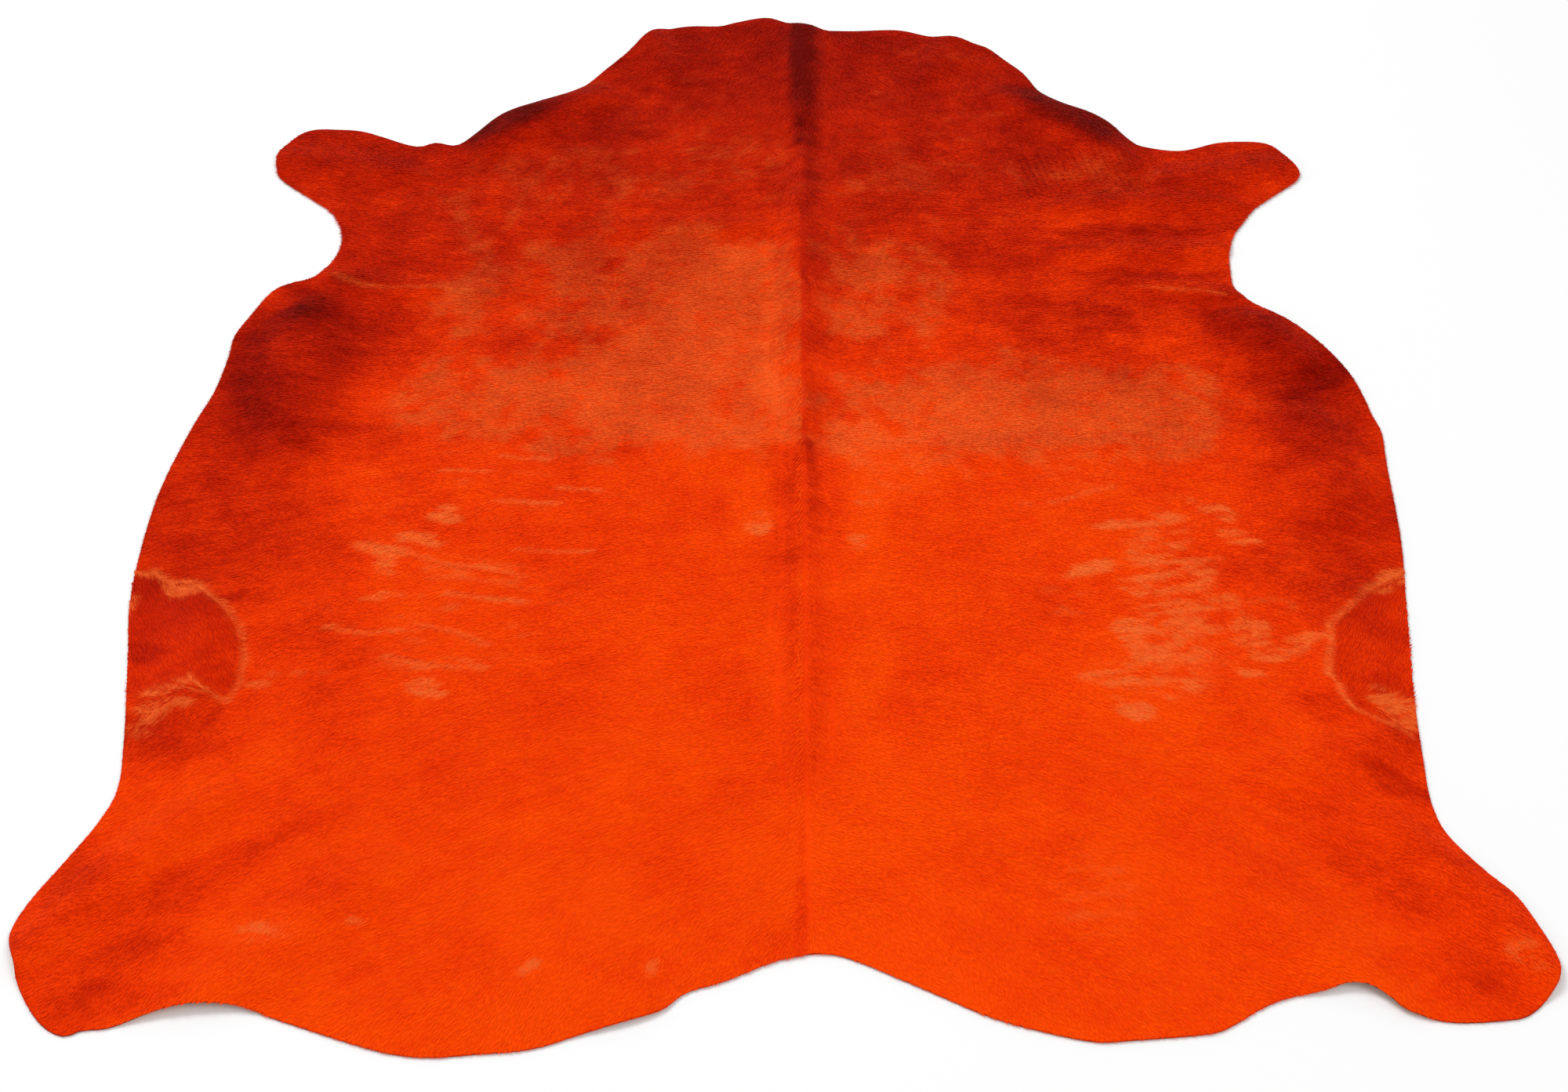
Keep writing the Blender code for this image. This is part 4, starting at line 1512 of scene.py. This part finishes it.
@dataclass(frozen=True)
class Coat:
    """The hair: tufts all over the hide along the nap, and finer strands over its rim."""

    hide: Hide
    tufts: int = 374000
    fringe: int = 15000
    lengths: tuple[float, float] = (8 * MM, 16 * MM)
    overhang: tuple[float, float] = (-0.4 * MM, 1.2 * MM)
    fringe_lengths: tuple[float, float] = (3 * MM, 6 * MM)

    GOLDEN = (0.7548776662, 0.5698402909)
    STREAK_PITCH = (12.5, 12)

    def nap(self, side: Side, row: np.ndarray, column: np.ndarray) -> np.ndarray:
        """Returns which way the hair lies at places on a flank's grid.

        It lies along the rib, away from the spine, turned back towards the rump, the more so
        on the neck and by the spine. Past the arc of the flank it lies forward instead, and
        smooth noise turns it a little everywhere.
        """
        ribs = self.hide.ribs
        columns = ribs.COLUMNS
        behind = ribs.at(side, row, np.maximum(column - 1.0, 0))
        ahead = ribs.at(side, row, np.minimum(column + 1.0, columns - 1.01))
        root = ribs.at(side, row, column)
        out = unit(ahead - behind)
        back = 0.3 + 0.34 * smoothstep(0.45, 0.95, root[:, 1])
        back += 0.3 * np.exp(-np.abs(root[:, 0] - 0.033) / 0.05)
        back = np.clip(back, 0, 0.92)[:, None]
        lie = unit(out * (1 - back) + np.array([0.0, -1.0]) * back)
        flank = self.hide.pattern.at(root)[:, 3:]
        lie = unit(lie * (1 - flank) + np.array([0.45 * side.value, 0.89]) * flank)
        turn = 0.28 * Noise(71).layered(root, (0.07, 0.07), 2)
        turn += np.random.default_rng(72).normal(0, 0.13, len(root))
        cos, sin = np.cos(turn), np.sin(turn)
        x, y = lie.T
        return np.column_stack([x * cos - y * sin, x * sin + y * cos])

    def cover(self, side: Side) -> Strands:
        """Spreads tufts evenly over a flank.

        The cells of the grid get tufts by their area, at places of a two-dimensional golden
        sequence within a cell. A tuft is cut short where it would lie too far past the rim.
        The looks' streaks run over the grid's rows and columns, taken as even millimetres.
        """
        ribs = self.hide.ribs
        areas = ribs.cell_areas(side)
        rng = np.random.default_rng(80 + side.value)
        count = round(self.tufts * float(areas.sum()) / ribs.area())
        reach = (np.arange(count) + rng.uniform(0, 1, count)) / count
        cell = np.searchsorted(np.cumsum(areas.ravel()) / areas.sum(), reach)
        cell = np.minimum(cell, areas.size - 1)
        order = np.arange(count)
        row = cell // areas.shape[1] + np.mod(order * self.GOLDEN[0], 1)
        column = cell % areas.shape[1] + np.mod(order * self.GOLDEN[1], 1)
        root, nap = ribs.at(side, row, column), self.nap(side, row, column)
        whole = row.astype(int)
        rib = ribs.grids[side][whole]
        pitch = np.linalg.norm(rib[:, -1] - rib[:, -2], axis=1)
        out = unit(rib[:, -1] - rib[:, -2])
        facing = np.maximum((nap * out).sum(axis=1), 0.3)
        gap = (ribs.COLUMNS - 1 - column) * pitch
        lengths = rng.uniform(*self.lengths, count)
        lengths = np.minimum(lengths, (gap + rng.uniform(*self.overhang, count)) / facing)
        column_pitch, row_pitch = self.STREAK_PITCH
        streak = np.column_stack([column * column_pitch * MM, row * row_pitch * MM])
        streaks = Noise(73).layered(streak, (0.07, 0.006), 2)
        locks = Noise(74).layered(streak, (0.12, 0.024), 3)
        looks = np.column_stack([
            0.06 * streaks + 0.06 * locks + rng.normal(0, 0.02, count),
            np.clip(1 + 0.4 * streaks + rng.normal(0, 0.2, count), 0, 1.5),
            rng.uniform(0.6, 1.1, count),
            rng.uniform(0, 1, count),
        ])
        return Strands(root, nap, lengths, looks)

    def edging(self, side: Side) -> Strands:
        """Sets finer strands just inside the rim, where the nap lies outwards over it."""
        ribs = self.hide.ribs
        rng = np.random.default_rng(90 + side.value)
        count = self.fringe // 2
        row = rng.uniform(0.5, ribs.ROWS - 1.5, count)
        column = ribs.COLUMNS - 1.08 - rng.uniform(0, 0.3, count)
        root, nap = ribs.at(side, row, column), self.nap(side, row, column)
        rim = ribs.grids[side][:, -1]
        whole = row.astype(int)
        along = unit(rim[whole + 1] - rim[whole])
        normal = np.column_stack([along[:, 1], -along[:, 0]]) * -side.value
        facing = (nap * normal).sum(axis=1)
        lengths = rng.uniform(*self.fringe_lengths, count)
        looks = np.tile([0.08, 1.0, 1.0, 0.0], (count, 1))
        looks[:, 3] = rng.uniform(0.3, 1, count)
        return Strands(root, nap, lengths, looks).only(facing > 0.25)

    def build(self, hair: bpy.types.Material) -> list[bpy.types.Object]:
        """Makes the coat's bands and the fringe."""
        cover = [self.cover(side) for side in Side]
        body = Kites(
            half_width=1.05 * MM, root_lift=0.2 * MM, tip_lift=1.2 * MM, ridge=0.16 * MM,
            droop=0.0, seed=81,
        )
        pieces = []
        for band in Band:
            low, high = band.value
            chosen = [s.only((s.roots[:, 1] >= low) & (s.roots[:, 1] < high)) for s in cover]
            pieces.append(body.build(f"coat_{band.name.lower()}", joined(chosen), self.hide, hair))
        fine = Kites(
            half_width=0.28 * MM, root_lift=0.3 * MM, tip_lift=0.9 * MM, ridge=0.1 * MM,
            droop=0.8 * MM, seed=82,
        )
        edging = joined([self.edging(side) for side in Side])
        pieces.append(fine.build("coat_fringe", edging, self.hide, hair))
        return pieces


def joined(groups: Sequence[Strands]) -> Strands:
    """Puts groups of strands together into one."""
    return Strands(*(np.concatenate(parts) for parts in zip(*(vars(g).values() for g in groups))))


@dataclass(frozen=True)
class Studio:
    """A pale floor, soft lamps and the camera of the photo."""

    floor_size: float = 40.0
    floor_drop: float = 0.3 * MM
    world: float = 0.62
    eye: tuple[float, float, float] = (0.0039, -3.4445, 3.2336)
    tilt: float = 45.0
    lens: float = 70.0
    sensor: float = 36.0

    def floor(self) -> bpy.types.Object:
        """Lays the floor just under the hide."""
        half = self.floor_size / 2
        corners = np.array([[-half, -half], [half, -half], [half, half], [-half, half]])
        places = np.column_stack([corners, np.full(4, -self.floor_drop)])
        made = mesh_object("floor", places, [np.arange(4)[None]], [PaleFloor().material()], (0,))
        return made

    @staticmethod
    def hang(lamp: Lamp) -> None:
        """Hangs a lamp so that it faces the hide's middle."""
        data = bpy.data.lights.new(lamp.name, "AREA")
        data.shape = "SQUARE"
        data.size = lamp.size
        data.energy = lamp.power
        made = bpy.data.objects.new(lamp.name, data)
        made.location = lamp.place
        made.rotation_euler = (-Vector(lamp.place)).to_track_quat("-Z", "Y").to_euler()
        bpy.context.scene.collection.objects.link(made)

    def build(self) -> bpy.types.Object:
        """Sets up the world, the lamps, the camera and the floor, which it returns."""
        scene = bpy.context.scene
        scene.view_settings.view_transform = "Standard"
        scene.world = bpy.data.worlds.new("studio")
        scene.world.use_nodes = True
        background = scene.world.node_tree.nodes["Background"]
        background.inputs["Color"].default_value = (1, 1, 1, 1)
        background.inputs["Strength"].default_value = self.world
        for lamp in LAMPS:
            self.hang(lamp)
        data = bpy.data.cameras.new("camera")
        data.lens = self.lens
        data.sensor_width = self.sensor
        camera = bpy.data.objects.new("camera", data)
        camera.location = self.eye
        camera.rotation_euler = (math.radians(self.tilt), 0, 0)
        scene.collection.objects.link(camera)
        scene.camera = camera
        LOG.info("studio: floor, two lamps and the camera")
        return self.floor()


def main() -> None:
    """Builds the hide's leather, its coat and the studio around them."""
    logging.basicConfig(level=logging.INFO, format="%(name)s: %(message)s")
    hide = Hide(Ribs.from_rim(), Relief().field(), Pattern().field())
    hair = DyedHair().material()
    floor = Studio().build()
    leather = Skin(hide).build(hair)
    coat = Coat(hide).build(hair)
    round(hide.ribs.area(), 2)


if __name__ == "__main__":
    main()
